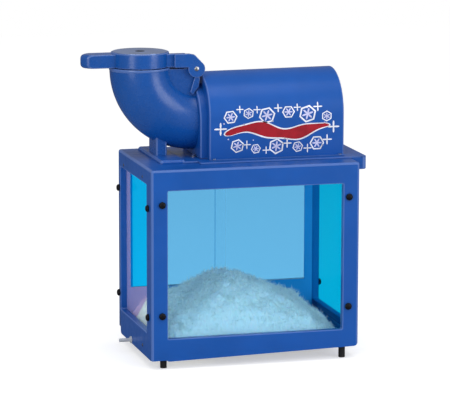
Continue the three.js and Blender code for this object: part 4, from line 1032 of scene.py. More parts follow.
def build_elbow(bead):
    """The hopper casting: a bent tube with a beaded mouth, the web and boss that carry the pin, a leaning
    rib, the pedestal and the foot with its stepped pad."""
    skin = Skin()
    steps = -np.linspace(BEND_START, QUARTER, 33)
    turn = np.linspace(-QUARTER, QUARTER, 7)
    lip = [(TUBE + bead * math.cos(a), RIM * math.sin(a)) for a in turn]
    lip = [(r, w if w > 0 else w / BEND) for r, w in lip]
    inner = [(TUBE - TUBE_WALL + MOUTH_IN, RIM - MOUTH_DOWN), *((TUBE - TUBE_WALL, s) for s in steps)]
    outer = [(TUBE, s) for s in steps[::-1]]
    skin.grid(bend_rings([*outer, *lip, *inner], 96), wrap_rows=True, wrap_cols=True)
    reach = BEND - math.sqrt(TUBE ** 2 - LUG_HALF ** 2) + WEB_SINK
    arc = np.linspace(HALF_TURN, HALF_TURN + QUARTER, 13)
    web = [(PIN[0] + reach * math.cos(a), PIN[2] + reach * math.sin(a)) for a in arc]
    rounds = [WEB_PIN_ROUND, WEB_ROUND, *[CAST_CURVE] * (len(web) - 2), WEB_ROUND]
    outline = closed_outline([(PIN[0], PIN[2]), *web], rounds, 2)
    add_plate(skin, outline, rolled(HEAD_MID - LUG_HALF, HEAD_MID + LUG_HALF, CAST_ROUND, 3), "y")
    boss = circle_outline((PIN[0], PIN[2]), BOSS, 48)
    add_plate(skin, boss, rolled(HEAD_MID - LUG_HALF - BOSS_PROUD, HEAD_MID + LUG_HALF + BOSS_PROUD,
                                 BOSS_EDGE, 3), "y")
    rib = closed_outline(RIB_CORNERS, RIB_ROUND, 3)
    add_plate(skin, rib, rolled(HEAD_MID - LUG_HALF - RIB_FRONT, HEAD_MID - LUG_HALF + RIB_BACK,
                                CAST_ROUND, 3), "y")
    base = DECK + FOOT_GAP
    front, back = ELBOW_LOW[1], ELBOW_HIGH[1]
    stand = closed_outline(
        box_corners(STAND_LEFT, HEAD_MID - STAND_HALF, STAND_RIGHT, HEAD_MID + STAND_HALF),
        STAND_ROUND, 5)
    add_plate(skin, stand, rolled(base, AXIS_Z, STAND_EDGE, 2), "z")
    pad = closed_outline(box_corners(PAD_LEFT, front, PAD_RIGHT, back), PAD_ROUND, 5)
    add_plate(skin, pad, np.array(PAD_SLOPE) + (0, base), "z", mark=1)
    ledge = closed_outline(
        box_corners(LEDGE_LEFT, front + LEDGE_INSET, LEDGE_RIGHT, back - LEDGE_INSET), LEDGE_ROUND, 4)
    return add_plate(skin, ledge, rolled(base + LEDGE_GAP, base + LEDGE_RISE, LEDGE_EDGE, 3), "z", mark=1)


def lowered(points):
    """Lowers the upper part of a form towards the back, by an ease of the way across the arm."""
    share = eased((points[..., 1] - DROP_FROM) / DROP_REACH)
    tall = eased((points[..., 2] - LEVER_LOW) / (LEVER_HIGH - LEVER_LOW))
    return points - np.stack([0 * share, 0 * share, FAR_DROP * share * tall], -1)


def build_grip(edge):
    """The grip: a bar with a round nose. Its edges are quarter rounds whose radius grows round the nose
    with an ease of the way past the nose's centre."""
    arc = np.linspace(QUARTER, 3 * QUARTER, 33)
    nose = np.stack([GRIP_TIP + GRIP_HALF * np.cos(arc), HEAD_MID + GRIP_HALF * np.sin(arc)], 1)
    inner = INLET_X - RING_BORE + GRIP_SINK
    root = [[inner, HEAD_MID - GRIP_HALF], [inner, HEAD_MID + GRIP_HALF]]
    rounds = [CAST_CURVE] * len(nose) + [GRIP_ROUND] * len(root)
    points, normals = closed_outline(np.concatenate([nose, root]), rounds, 2)
    radius = edge + (NOSE_EDGE - edge) * eased((GRIP_TIP + NOSE_START - points[:, 0]) / GRIP_HALF)
    turn = np.linspace(0, QUARTER, 7)[:, None]
    inset = np.concatenate([radius * (1 - np.sin(turn)), radius * (1 - np.cos(turn))])
    height = np.concatenate([LEVER_LOW + radius * (1 - np.cos(turn)),
                             LEVER_HIGH - radius * (1 - np.sin(turn))])
    return Skin().closed(lay(points - inset[..., None] * normals, height, "z"))


def build_ring(edge):
    """The ring about the hopper's cap: an annulus a little prouder than the grip and the arm."""
    outline = circle_outline(INLET, RING, 120)
    profile = rolled(LEVER_LOW - RING_DROP, LEVER_HIGH + RING_RISE, edge)
    return add_washer(Skin(), outline, profile, INLET, RING_BORE)


def build_arm(edge):
    """The arm from the ring to the ears: a block cut to the ring's curve, which sinks towards the back,
    and two ears, each a plate whose outline runs round the pin."""
    skin = Skin()
    half_width = ARM_HALF - STEP_BACK
    side = np.linspace(-half_width, half_width, 21)
    reach = np.sqrt((RING_BORE + ARM_SINK) ** 2 - side ** 2)
    near_ring = np.stack([INLET_X + reach, HEAD_MID + side], 1)[::-1]
    far_end = np.stack([np.full(len(side), ARM_END), HEAD_MID + side], 1)
    outline = closed_outline(np.concatenate([far_end, near_ring]), ARM_ROUND, 1)
    rows = lowered(plate_rows(outline, rolled(LEVER_LOW, LEVER_HIGH, edge), "z"))
    skin.grid(rows, wrap_cols=True).cap(rows[0])
    half = rows.shape[1] // 2
    skin.grid(np.stack([rows[-1, :half], rows[-1, half:][::-1]]))
    low, high = LEVER_LOW + EAR_LIFT, LEVER_HIGH
    turn = np.linspace(HALF_TURN - math.asin((low - PIN[2]) / EAR), FULL_TURN + HALF_TURN / 6, 22)
    round_pin = np.stack([PIN[0] + EAR * np.cos(turn), PIN[2] + EAR * np.sin(turn)], 1)
    outline = np.concatenate([
        [[EAR_START, low]], round_pin,
        [[PIN[0] - EAR_NECK, high - EAR_DROP], [PIN[0] - EAR_SHOULDER, high - EAR_SINK],
         [EAR_START, high - EAR_SINK]]])
    rounds = [*EAR_LOW_ROUNDS, *[EAR_CURVE] * (len(round_pin) - 1), *EAR_HIGH_ROUNDS]
    shape = closed_outline(outline, rounds, 3)
    for first, last in ((HEAD_MID - ARM_HALF - EAR_SINK, HEAD_MID - ARM_HALF + EAR_THICK),
                        (HEAD_MID + ARM_HALF - EAR_THICK, HEAD_MID + ARM_HALF + EAR_SINK)):
        skin.closed(lowered(plate_rows(shape, rolled(first, last, EAR_EDGE), "y")))
    return skin


def build_pin():
    """The hinge pin with domed ends: a quarter of an ellipse turned about the pin at either end."""
    low, high = PIN_LOW[1], PIN_HIGH[1]
    turn = np.linspace(0, QUARTER, 6)
    near = [(PIN_RADIUS * math.sin(a), low - PIN_DOME * math.cos(a)) for a in turn]
    far = [(PIN_RADIUS * math.cos(a), high + PIN_DOME * math.sin(a)) for a in turn]
    return add_lathe(Skin(), [*near, *far], (PIN[0], PIN[2]), "y", 32)


def build_cap_disc():
    """The turned disc on the handle's ring: an eased rim about a round hole."""
    high = DISC_HIGH[2] - DISC_EDGE
    low = LEVER_HIGH + RING_RISE - DISC_EDGE
    radius = (DISC_HIGH[0] - DISC_LOW[0]) / 2 - DISC_TRIM
    outline = circle_outline(INLET, radius, 120)
    return add_washer(Skin(), outline, rolled(low, high, DISC_EDGE), INLET, DISC_HOLE)


def build_disc_plug():
    """Dark plug in the disc's hole, just under the disc's face: it paints the shade in the hole."""
    plug = circle_outline(INLET, DISC_HOLE + PLUG_FIT, 48)
    return add_plate(Skin(), plug, rolled(DISC_HIGH[2] - PLUG_LOW, DISC_HIGH[2] - PLUG_HIGH, PLUG_EDGE, 1))


# Cover, housing and base plate

ARCH_DROP, ARCH_LEAN = 3.6, 2.8
ARCH_STEPS = 28
COVER_RADIUS = 98.5
COVER_FLANGE = 9.0
FLANGE_SHEET = 1.5
SPRING = PLATE_HIGH[2] + 94.5
LOUVRE_FIRST, LOUVRE_PITCH, LOUVRE_GAP = 40.3, 14.0, 5.0
LOUVRES = np.array([[z, z + LOUVRE_GAP]
                    for z in PLATE_HIGH[2] + LOUVRE_FIRST + LOUVRE_PITCH * np.arange(5)])
LOUVRE_HALF = 35.0
HOOD_REACH, HOOD_RISE = 5.2, 3.6
HOOD_PAST, HOOD_BACK, HOOD_SINK = 2.0, 0.8, 0.9
HOUSING_LIP = 3.2
HOUSING_GAP = 0.6
HOUSING_STEP = 5.0
HOUSING_FOOT, HOUSING_CURVE = 2.4, 40.0
BARE_EDGE, REAR_EDGE = 0.01, 1.0
CUTTER_BORE = 68.0
SHAFT_BORE = 9.0
WING_REACH = 8.0
WING_CORNER = 10.0
PLATE_SHEET = 3.0
PLATE_CORNER, PLATE_TOP_EDGE, PLATE_LOW_EDGE = 1.5, 0.8, 0.4
WALL_GAP = 0.3
RIM_SINK = 0.4
BOLT_PLACE = (134.0, 150.0)
BOLT_REACH, BOLT_RISE = 5.0, 6.2
WASHER_RADIUS, WASHER_RISE = 6.4, 1.4


def arch_levels(radius, spring, levels):
    """Half an arch from its foot up: straight at the radius to the spring, then the radius times the
    cosine of an angle, with the height growing with its sine. Returns half widths and heights."""
    turn = np.linspace(0, QUARTER, ARCH_STEPS + 1)
    width = np.concatenate([np.full(len(levels), radius), radius * np.cos(turn)])
    height = np.concatenate([levels, spring + radius * np.sin(turn)])
    return width, height


def settled_cover(points):
    """Lowers the cover's arch by a few millimetres, more towards its left end, in proportion to height."""
    tall = (points[..., 2] - COVER_LOW[2]) / (COVER_HIGH[2] - COVER_LOW[2])
    left = (COVER_HIGH[0] - points[..., 0]) / (COVER_HIGH[0] - COVER_LOW[0])
    drop = (ARCH_DROP + ARCH_LEAN * left) * np.clip(tall, 0, None) ** 2
    return points - np.stack([0 * drop, 0 * drop, drop], -1)


def build_louvres(skin, right, sheet):
    """Slots through the cover's right end, and over each a pressed hood: a quarter of an ellipse whose
    reach swells with one less a high power of the way along the slot."""
    for low, high in LOUVRES:
        corners = box_corners(HEAD_MID - LOUVRE_HALF, low, HEAD_MID + LOUVRE_HALF, high)
        skin.grid(lay(np.stack([corners, corners]), np.array([[right] * 4, [right - sheet] * 4]), "x"),
                  wrap_cols=True)
        along = np.linspace(-1, 1, 15)
        over = np.linspace(0, QUARTER, 5)
        swell = np.sqrt(np.clip(1 - along ** 6, 0, 1))[:, None]
        reach = HOOD_REACH * swell * np.cos(over)[None]
        rise = high + HOOD_RISE * np.sin(over)[None] * swell + 0 * reach
        y = HEAD_MID + (LOUVRE_HALF + HOOD_PAST) * along[:, None] + 0 * reach
        hood = np.stack([right + reach, y, rise], -1)
        under = np.stack([right + reach - HOOD_BACK * swell, y, rise - HOOD_SINK * swell], -1)
        skin.grid(np.concatenate([hood, under[:, ::-1]], 1), wrap_cols=True)


def build_cover(edge, sheet):
    """The motor cover: an arch swept from end to end with eased ends. The left end is cut round the
    cutter housing, and the right end has louvre slots under pressed hoods."""
    skin = Skin()
    bottom = COVER_LOW[2]
    levels = np.array([bottom, *LOUVRES.ravel()])
    levels = levels[levels < SPRING - 1]
    left, right = COVER_LOW[0], COVER_HIGH[0]
    turn = np.linspace(0, QUARTER, 6)

    def ring(inset, x, spring=SPRING, radius=COVER_RADIUS):
        """Points over the arch at x, moved in by the inset."""
        shrunk = bottom + (levels - bottom) * (spring - bottom) / (SPRING - bottom)
        width, height = arch_levels(radius - inset, spring, shrunk)
        y = np.concatenate([HEAD_MID - width, HEAD_MID + width[:-1][::-1]])
        z = np.concatenate([height, height[:-1][::-1]])
        return settled_cover(np.stack([np.full(len(y), x), y, z], 1))

    rows = [ring(edge * (1 - math.sin(a)), left + edge * (1 - math.cos(a))) for a in turn]
    rows += [ring(edge * (1 - math.cos(a)), right - edge * (1 - math.sin(a))) for a in turn]
    notch = (HOUSING_HIGH[1] - HOUSING_LOW[1]) / 2 + HOUSING_GAP
    hole = ring(0, left, AXIS_Z, notch)
    back = ring(0, left + sheet, AXIS_Z, notch)
    inside = [ring(sheet, left + sheet), ring(sheet, right - sheet)]
    skin.grid(np.stack([*inside[::-1], back, hole, *rows]))
    for x, shrink in ((right, edge), (right - sheet, sheet)):
        width, height = arch_levels(COVER_RADIUS - shrink, SPRING, levels)
        inner = np.minimum(LOUVRE_HALF, width)
        y = np.stack([-width, -inner, inner, width], 1) + HEAD_MID
        face = np.stack([np.full(y.shape, x), y, np.repeat(height[:, None], 4, 1)], -1)
        keep = np.ones((len(height) - 1, 3), bool)
        middle = (height[1:] + height[:-1]) / 2
        open_row = ((middle[:, None] > LOUVRES[:, 0]) & (middle[:, None] < LOUVRES[:, 1])).any(1)
        keep[open_row, 1] = False
        skin.grid(settled_cover(face), keep=keep)
    build_louvres(skin, right, sheet)
    for side in (-1, 1):
        near, far = sorted(HEAD_MID + side * (COVER_RADIUS + reach) for reach in (-1, COVER_FLANGE))
        strip = closed_outline(box_corners(left, near, right, far), 1.0, 3)
        add_plate(skin, strip, rolled(bottom, bottom + FLANGE_SHEET, 0.5, 2), "z")
    return skin


def divided(outline, gap):
    """An outline whose straight parts are divided into steps of about a gap."""
    rows = []
    for here, there in zip(np.hstack(outline), np.roll(np.hstack(outline), -1, axis=0)):
        count = max(1, round(float(np.linalg.norm(there[:2] - here[:2])) / gap))
        share = np.arange(count)[:, None] / count
        rows.append(here + share * (there - here))
    rows = np.concatenate(rows)
    return rows[:, :2], rows[:, 2:]


def build_housing(edge):
    """The cutter housing: an arch with eased ends, bored through about the cutter's axis."""
    low, high = HOUSING_LOW, HOUSING_HIGH
    radius = (high[1] - low[1]) / 2
    turn = np.linspace(0, HALF_TURN, 41)
    arch = np.stack([HEAD_MID + radius * np.cos(turn), AXIS_Z + radius * np.sin(turn)], 1)
    foot = [[HEAD_MID - radius, low[2]], [HEAD_MID + radius, low[2]]]
    rounds = [HOUSING_FOOT] * len(foot) + [HOUSING_CURVE] * len(arch)
    outline = divided(closed_outline(np.concatenate([foot, arch]), rounds, 2), HOUSING_STEP)
    skin = Skin()
    bores = (TUBE - TUBE_WALL, CUTTER_BORE, SHAFT_BORE)
    levels = (low[0], low[0] + HOUSING_LIP, high[0] - HOUSING_LIP, high[0])
    edges = ((BARE_EDGE, edge), (BARE_EDGE, BARE_EDGE), (REAR_EDGE, BARE_EDGE))
    for bore, first, last, (high_round, low_round) in zip(bores, levels, levels[1:], edges):
        add_washer(skin, outline, rolled(first, last, high_round, 3, low_round), (HEAD_MID, AXIS_Z),
                   bore, "x")
    return skin


def build_base_plate(edge):
    """The plate under motor and cutter, and past the right wall the turned-down rim of its wing."""
    low, high = PLATE_LOW, PLATE_HIGH
    high = high + (WING_REACH, 0, 0)
    under = high[2] - PLATE_SHEET
    skin = Skin()
    plan = closed_outline(box_corners(low[0], low[1], high[0], high[1]),
                          [PLATE_CORNER, WING_CORNER, WING_CORNER, PLATE_CORNER], 10)
    rows = plate_rows(plan, rolled(under, high[2], PLATE_TOP_EDGE, 3, PLATE_LOW_EDGE), "z")
    count = len(plan[0]) // 4
    ring = np.repeat(slot_corners(), count, axis=0)
    first = lay(ring, np.full(len(ring), under), "z")
    last = lay(ring, np.full(len(ring), high[2]), "z")
    skin.grid(np.concatenate([[first], rows, [last]]), True, True)
    wall = WIDTH + WALL_GAP
    points, normals = closed_outline(
        box_corners(wall, low[1], high[0], high[1]), [BARE_EDGE, WING_CORNER, WING_CORNER, BARE_EDGE], 10)
    upper, lower = high[2] - RIM_SINK, low[2]
    roll = np.linspace(0, QUARTER, 5)
    outer = [(0.0, upper), (0.0, lower + edge)]
    outer += [(edge * (1 - math.cos(a)), lower + edge * (1 - math.sin(a))) for a in roll[1:]]
    inner = [(PLATE_SHEET, lower), (PLATE_SHEET, under)]
    profile = np.array(outer + inner)
    rim = lay(points[None] - profile[:, 0, None, None] * normals[None],
              np.repeat(profile[:, 1, None], len(points), 1), "z")
    rim = rim[:, 5:-5]
    rim[..., 0] = np.maximum(rim[..., 0], wall)
    skin.grid(rim, wrap_rows=True)
    skin.cap(rim[:, 0])
    return skin.cap(rim[:, -1])


def build_plate_bolt():
    """A hexagon bolt on its washer, set in the base plate between the hopper and the housing."""
    base = PLATE_HIGH[2]
    seat, top = base + WASHER_RISE, base + BOLT_RISE
    skin = Skin()
    add_plate(skin, circle_outline(BOLT_PLACE, WASHER_RADIUS, 28), rolled(base, seat, 0.3, 2), "z")
    head = closed_outline(hexagon_corners(BOLT_PLACE, BOLT_REACH), 0.5, 2)
    return add_plate(skin, head, rolled(seat, top, 0.6, 3), "z")


# Picture on the cover

FILM_LOW = 0.05
FILM_BACK = 0.22
FILM_FRONT = 0.38
RIBBON_FROM, RIBBON_TO = 192.0, 436.0
RIBBON_RISE, RIBBON_WAVE = 514.0, 8.5
RIBBON_HALF, RIBBON_SWELL = 13.0, 3.5
RIBBON_BORDER = 3.2
# Each one's x, rise up the cover, size and, for a crystal, turn
CRYSTALS = ((205, 549, 14, 0.1), (247, 556, 11, 0.4), (290, 550, 17, 0.2), (340, 556, 13, 0.0),
            (385, 550, 18, 0.3), (430, 543, 11, 0.5), (221, 482, 14, 0.3), (264, 474, 10, 0.1),
            (312, 478, 16, 0.4), (362, 475, 11, 0.2), (407, 482, 15, 0.0))
GLINTS = ((182, 522, 15), (227, 566, 9), (267, 564, 9), (316, 566, 10), (361, 566, 9), (409, 566, 11),
          (446, 518, 14), (243, 484, 10), (288, 470, 9), (337, 484, 11), (385, 471, 10), (431, 489, 12))
DOTS = ((190, 534, 1.8), (236, 531, 1.6), (303, 536, 1.7), (350, 562, 1.6), (425, 528, 1.8),
        (200, 498, 1.7), (258, 494, 1.4), (332, 494, 1.5), (420, 476, 1.7), (384, 564, 1.5))


def on_cover(x, rise, lift):
    """A place on the cover's face: x along it, the rise up its wall and on over the arch, where it is
    the spring plus an arc length, and the lift outwards."""
    turn = np.maximum(rise - SPRING, 0) / COVER_RADIUS
    reach = COVER_RADIUS + lift
    y = HEAD_MID - reach * np.cos(turn)
    return settled_cover(np.stack(np.broadcast_arrays(
        x, y, np.minimum(rise, SPRING) + reach * np.sin(turn)), -1))


def add_film(skin, outline, low, high, mark, hole=None):
    """A closed film laid on the cover inside an outline, or between an outline and a hole."""
    back, front = (on_cover(outline[:, 0], outline[:, 1], lift) for lift in (low, high))
    if hole is None:
        skin.closed(np.stack([back, front]), mark)
    else:
        inner_back, inner_front = (on_cover(hole[:, 0], hole[:, 1], lift) for lift in (low, high))
        skin.grid(np.stack([inner_back, back, front, inner_front]), True, True, mark=mark)


def polar(centre, radius, count=60, turn=0.0):
    """Outline at a distance from a centre that is a function of the angle."""
    angle = np.linspace(0, FULL_TURN, count, endpoint=False)
    reach = radius(angle)[:, None]
    return np.asarray(centre) + reach * np.stack([np.cos(angle + turn), np.sin(angle + turn)], 1)


def add_ribbon(skin, grow, low, high, mark):
    """A waving band: its middle is a sine along x, and its half height swells with a second one and
    tapers to both ends with the root of a sine."""
    share = np.linspace(0, 1, 97)
    x = RIBBON_FROM - grow + (RIBBON_TO - RIBBON_FROM + 2 * grow) * share
    middle = RIBBON_RISE + RIBBON_WAVE * np.sin(FULL_TURN * 1.35 * share - 0.5)
    taper = np.clip(np.sin(HALF_TURN * share), 0, 1) ** 0.45
    half = taper * (RIBBON_HALF + RIBBON_SWELL * np.cos(FULL_TURN * 2.7 * share) + grow)
    across = np.linspace(-1, 1, 9)[:, None]
    rise = middle + half * across
    skin.grid(np.concatenate([on_cover(x, rise, high), on_cover(x, rise[::-1], low)]),
              wrap_rows=True, mark=mark)


def hexagon(size):
    """Reach of a hexagon at an angle."""
    return lambda angle: size / np.cos((angle % (HALF_TURN / 3)) - HALF_TURN / 6)


def star(size):
    """Reach of a star with six points: a power of a cosine of three times the angle."""
    return lambda angle: size * (0.2 + 0.56 * np.abs(np.cos(3 * angle)) ** 2.2)


def glint(size):
    """Reach of a glint with four points: a power of a cosine of twice the angle."""
    return lambda angle: size * (0.2 + 0.8 * np.abs(np.cos(2 * angle)) ** 6)


def build_picture():
    """A plain design in place of the printed one: a red band with a white border over ice crystals (a
    hexagon about a six-pointed star), glints with four points and dots."""
    skin = Skin()
    add_ribbon(skin, RIBBON_BORDER, FILM_LOW, FILM_BACK, 0)
    add_ribbon(skin, 0.0, FILM_LOW, FILM_FRONT, 1)
    for x, rise, size, turn in CRYSTALS:
        outer, inner = (polar((x, rise), hexagon(size * share), 60, turn) for share in (1.0, 0.8))
        add_film(skin, outer, FILM_LOW, FILM_BACK, 0, inner)
        add_film(skin, polar((x, rise), star(size), 72, turn), FILM_LOW, FILM_BACK, 2)
    for x, rise, size in GLINTS:
        add_film(skin, polar((x, rise), glint(size), 64), FILM_LOW, FILM_BACK, 0)
    for x, rise, size in DOTS:
        add_film(skin, polar((x, rise), lambda angle: size + 0 * angle, 16), FILM_LOW, FILM_BACK, 2)
    return skin


# Settings

def size_setting(name, description, default, low=0):
    """A size in millimetres."""
    return bpy.props.FloatProperty(name=name, description=description, default=default, min=low)


def count_setting(name, description, default, low=0):
    """A number of like forms."""
    return bpy.props.IntProperty(name=name, description=description, default=default, min=low)


def colour_setting(name, description, default):
    """A colour in linear light."""
    return bpy.props.FloatVectorProperty(
        name=name, description=description, subtype="COLOR", size=3, default=default, min=0, max=1)


class ShaverSizes(bpy.types.PropertyGroup):
    """Sizes that dress the frame, in millimetres."""

    corner: size_setting("Cabinet Edge", "Radius of the cabinet's upright and top edges", 5.0, 2)
    sheet: size_setting("Sheet", "Thickness of the cabinet's sheet steel", 2.0, 1)
    cover_edge: size_setting("Cover Edge", "Radius of the motor cover's end edges", 3.0, 0.5)
    casting_edge: size_setting("Casting Edge", "Radius of the edges of the cast parts", 2.2, 0.5)
    bead: size_setting("Mouth Bead", "How far the hopper's mouth bead stands proud", 1.0)
    lump: size_setting("Ice Lumps", "Height of the random lumps of ice", 2.6)
    crumb: size_setting("Ice Crumbs", "Height of the small crumbs of ice", 1.9)
    flakes: count_setting("Ice Flakes", "Number of loose flakes on the heap", 6000)
    knob_lobes: count_setting("Knob Lobes", "Number of finger lobes round a window knob", 8, 3)
    knob_swell: bpy.props.FloatProperty(
        name="Knob Swell", description="Share by which a knob's lobes swell", default=0.025, min=0,
        subtype="FACTOR")


class ShaverColours(bpy.types.PropertyGroup):
    """Colours of the finishes, in linear light."""

    paint: colour_setting(
        "Cabinet Paint", "Blue enamel of the cabinet and the sheet parts", (0.005, 0.080, 0.365))
    # A lighter, more cyan copy of the blue paint for the inside faces: partly painted light that lifts the
    # dim inside
    casting: colour_setting("Casting Paint", "Blue enamel of the cast hopper", (0.003, 0.072, 0.325))
    lining: colour_setting("Lining", "Paint inside the cabinet", (0.004, 0.30, 0.66))
    front_tint: colour_setting("Front Tint", "What the front window lets through", (0.40, 0.72, 0.92))
    side_tint: colour_setting("Side Tint", "What a side window lets through", (0.0, 0.50, 0.66))
    # Low and far back, the left pane carries a painted reflection haze over this tint
    left_tint: colour_setting(
        "Left Tint", "What the left window lets through above its mist", (0.0, 0.66, 0.98))
    door_tint: colour_setting("Door Tint", "What a sliding door lets through", (0.29, 0.575, 0.75))


class ShaverStudio(bpy.types.PropertyGroup):
    """Camera and light."""

    azimuth: bpy.props.FloatProperty(
        name="Azimuth", description="Camera's turn about the upright", subtype="ANGLE",
        default=math.radians(-15.276))
    elevation: bpy.props.FloatProperty(
        name="Elevation", description="Camera's rise above level", subtype="ANGLE",
        default=math.radians(10.284))
    roll: bpy.props.FloatProperty(
        name="Roll", description="Camera's turn about its own view", subtype="ANGLE",
        default=math.radians(0.12))
    distance: bpy.props.FloatProperty(
        name="Distance", description="Camera to the point it looks at", unit="LENGTH", default=6.307)
    lens: bpy.props.FloatProperty(
        name="Lens", description="Focal length on a 36 mm wide sensor", default=228.2)
    key: bpy.props.FloatProperty(
        name="Key Light", description="Power of the large lamp at the front right", default=27.0, min=0)
    fill: bpy.props.FloatProperty(
        name="Fill Light", description="Power of the lamp at the front left", default=28.0, min=0)


# Panes: the left door's dye stops at its lap, and low and far back on the left pane lies a painted
# # reflection: a lavender haze that scatters part of the light, with a paler tint towards the front and
# bottom

ACROSS = (1.0, 0.0, 0.0)
BACKWARDS = (0.0, 1.0, 0.0)
DOWN_BACK = (0.0, -0.218, -1.0)
DOWN_FRONT = (0.0, -0.64, -1.0)
HAZE_REFLECTION_TINT = (0.51, 0.44, 0.72)
PALE_LOW_FRONT_TINT = (0.72, 0.86, 0.88)
LAP_TINTS = (((0.97, 0.985, 0.995), ACROSS, (228, 0, 0), 0.4),)
HAZE_REFLECTION_TINTS = ((HAZE_REFLECTION_TINT, DOWN_BACK, (0, 268, 134), 1.5), (HAZE_REFLECTION_TINT, BACKWARDS, (0, 264, 0), 1.5),
              (PALE_LOW_FRONT_TINT, DOWN_FRONT, (0, 142, 119), 8.0))
HAZE_REFLECTION_SHARES = ((0.3, DOWN_BACK, (0, 268, 134), 1.5), (0.3, BACKWARDS, (0, 264, 0), 1.5))


def finishes():
    """Makes every finish once and returns them by name."""
    colours = bpy.context.scene.shaver_colours
    paint, casting = tuple(colours.paint), tuple(colours.casting)
    lining = tuple(colours.lining)
    makers = {
        "cabinet_enamel": lambda name: enamel(name, paint, 0.33, 0.003, gloss=0.28),
        "casting_enamel": lambda name: enamel(name, casting, 0.26, 0.005, 0.02, 0.0, 0.55),
        "lining_enamel": lambda name: enamel(name, lining, 0.5, coat=0.0),
        "front_pane": lambda name: tinted_pane(name, tuple(colours.front_tint)),
        "side_pane": lambda name: tinted_pane(name, tuple(colours.side_tint), 1.03),
        # The left pane, with a painted reflection haze low and far back
        "misted_pane": lambda name: tinted_pane(
            name, tuple(colours.left_tint), 1.03, HAZE_REFLECTION_TINTS, HAZE_REFLECTION_SHARES),
        "door_pane": lambda name: tinted_pane(name, tuple(colours.door_tint), 1.04),
        "lapped_pane": lambda name: tinted_pane(name, tuple(colours.door_tint), 1.04, LAP_TINTS),
        "black_plastic": lambda name: moulded(name, (0.007, 0.007, 0.01), 0.3, specular=0.15),
        "black_rubber": lambda name: moulded(name, (0.01, 0.01, 0.011), 0.7, 300.0, 0.12),
        # Black of the plug that stands in for the shade in the disc's hole: painted shade
        "dark_hollow": lambda name: moulded(name, (0.008, 0.008, 0.009), 0.8, 300.0, 0.12, 0.0),
        "turned_disc": lambda name: turned_metal(
            name, (0.44, 0.56, 0.90), 0.38, tuple(cab((*INLET, 0)))),
        "satin_aluminium": lambda name: brushed_metal(name, (0.86, 0.87, 0.9), 0.4, (400, 12, 12)),
        "cast_aluminium": lambda name: cast_metal(name, (0.45, 0.46, 0.5), 0.5),
        "bright_steel": lambda name: brushed_metal(name, (0.62, 0.63, 0.65), 0.26, (60, 900, 60)),
        "tool_steel": lambda name: brushed_metal(name, (0.5, 0.51, 0.54), 0.3, (30, 500, 500)),
        "core_steel": lambda name: cast_metal(name, (0.22, 0.22, 0.24), 0.5, 300.0),
        "motor_paint": lambda name: cast_metal(name, (0.16, 0.17, 0.19), 0.45, 90.0, 0.2, 0.0),
        "milky_plastic": lambda name: milky(name, tone(196, 201, 208)),
        "white_film": lambda name: moulded(name, (0.8, 0.82, 0.9), 0.35, 900.0, 0.01),
        "lilac_film": lambda name: moulded(name, (0.55, 0.56, 0.82), 0.35, 900.0, 0.01),
        "red_film": lambda name: moulded(name, (0.36, 0.006, 0.018), 0.35, 900.0, 0.01, 0.3),
        "shaved_ice": lambda name: snow(name, (0.99, 0.99, 0.93), (0.92, 0.96, 0.91)),
    }
    return {name: bpy.data.materials.get(FINISH_PREFIX + name) or make(name)
            for name, make in makers.items()}


class SHAVER_OT_cabinet(bpy.types.Operator):
    """Welded sheet cabinet with its window openings"""

    bl_idname = "shaver.cabinet"
    bl_label = "Cabinet"
    bl_options = {"REGISTER", "UNDO"}

    def execute(self, context):
        sizes = context.scene.shaver_sizes
        finish = finishes()
        skin = build_cabinet(sizes.corner)
        piece = make_piece(
            "cabinet_shell", skin, [finish["cabinet_enamel"], finish["lining_enamel"]], "machine",
            ("front_frame", "left_frame", "right_frame", "top_deck"), sharp=SHEET_SHARP,
            settled=False)
        # The sheet's inner side takes the lightened inside enamel: partly painted light
        wall = piece.modifiers.new("sheet", "SOLIDIFY")
        wall.thickness = sizes.sheet * MM
        wall.offset = -1
        wall.use_even_offset = True
        wall.material_offset = 1
        settle_normals(piece)
        rear = dressed_copy("rear_frame", "rear_frame_dressed", finish["cabinet_enamel"], "machine",
                            SHEET_ROUND)
        # Inner faces of the rear frame take the lightened inside enamel: partly painted light
        rear.data.materials.append(finish["lining_enamel"])
        inner = read(rear.data.polygons, "normal", 3)[:, 1] < -0.5
        rear.data.polygons.foreach_set("material_index", inner.astype(np.int32))
        # The pan's inner faces take the lightened inside enamel: partly painted light
        pan = dressed_copy("floor_pan", "floor_pan_dressed", finish["lining_enamel"], "machine",
                           SHEET_ROUND)
        pan.data.materials.append(finish["cabinet_enamel"])
        facing = read(pan.data.polygons, "normal", 3)
        outer = (facing[:, 1] > 0.5) | (facing[:, 2] < -0.5)
        pan.data.polygons.foreach_set("material_index", outer.astype(np.int32))
        lift_left_edge(pan)
        make_piece("wall_rivets", build_rivets(), [finish["core_steel"]], "machine")
        return {"FINISHED"}


class SHAVER_OT_windows(bpy.types.Operator):
    """Tinted panes at the front and sides, and the sliding doors in their tracks"""

    bl_idname = "shaver.windows"
    bl_label = "Windows and Doors"
    bl_options = {"REGISTER", "UNDO"}

    def execute(self, context):
        finish = finishes()
        set_finishes(finish, (
            ("front_pane", ("front_window",)), ("misted_pane", ("left_window",)),
            ("side_pane", ("right_window",)), ("lapped_pane", ("left_door",)),
            ("door_pane", ("right_door",)),
            ("satin_aluminium", ("upper_door_track", "lower_door_track"))))
        return {"FINISHED"}


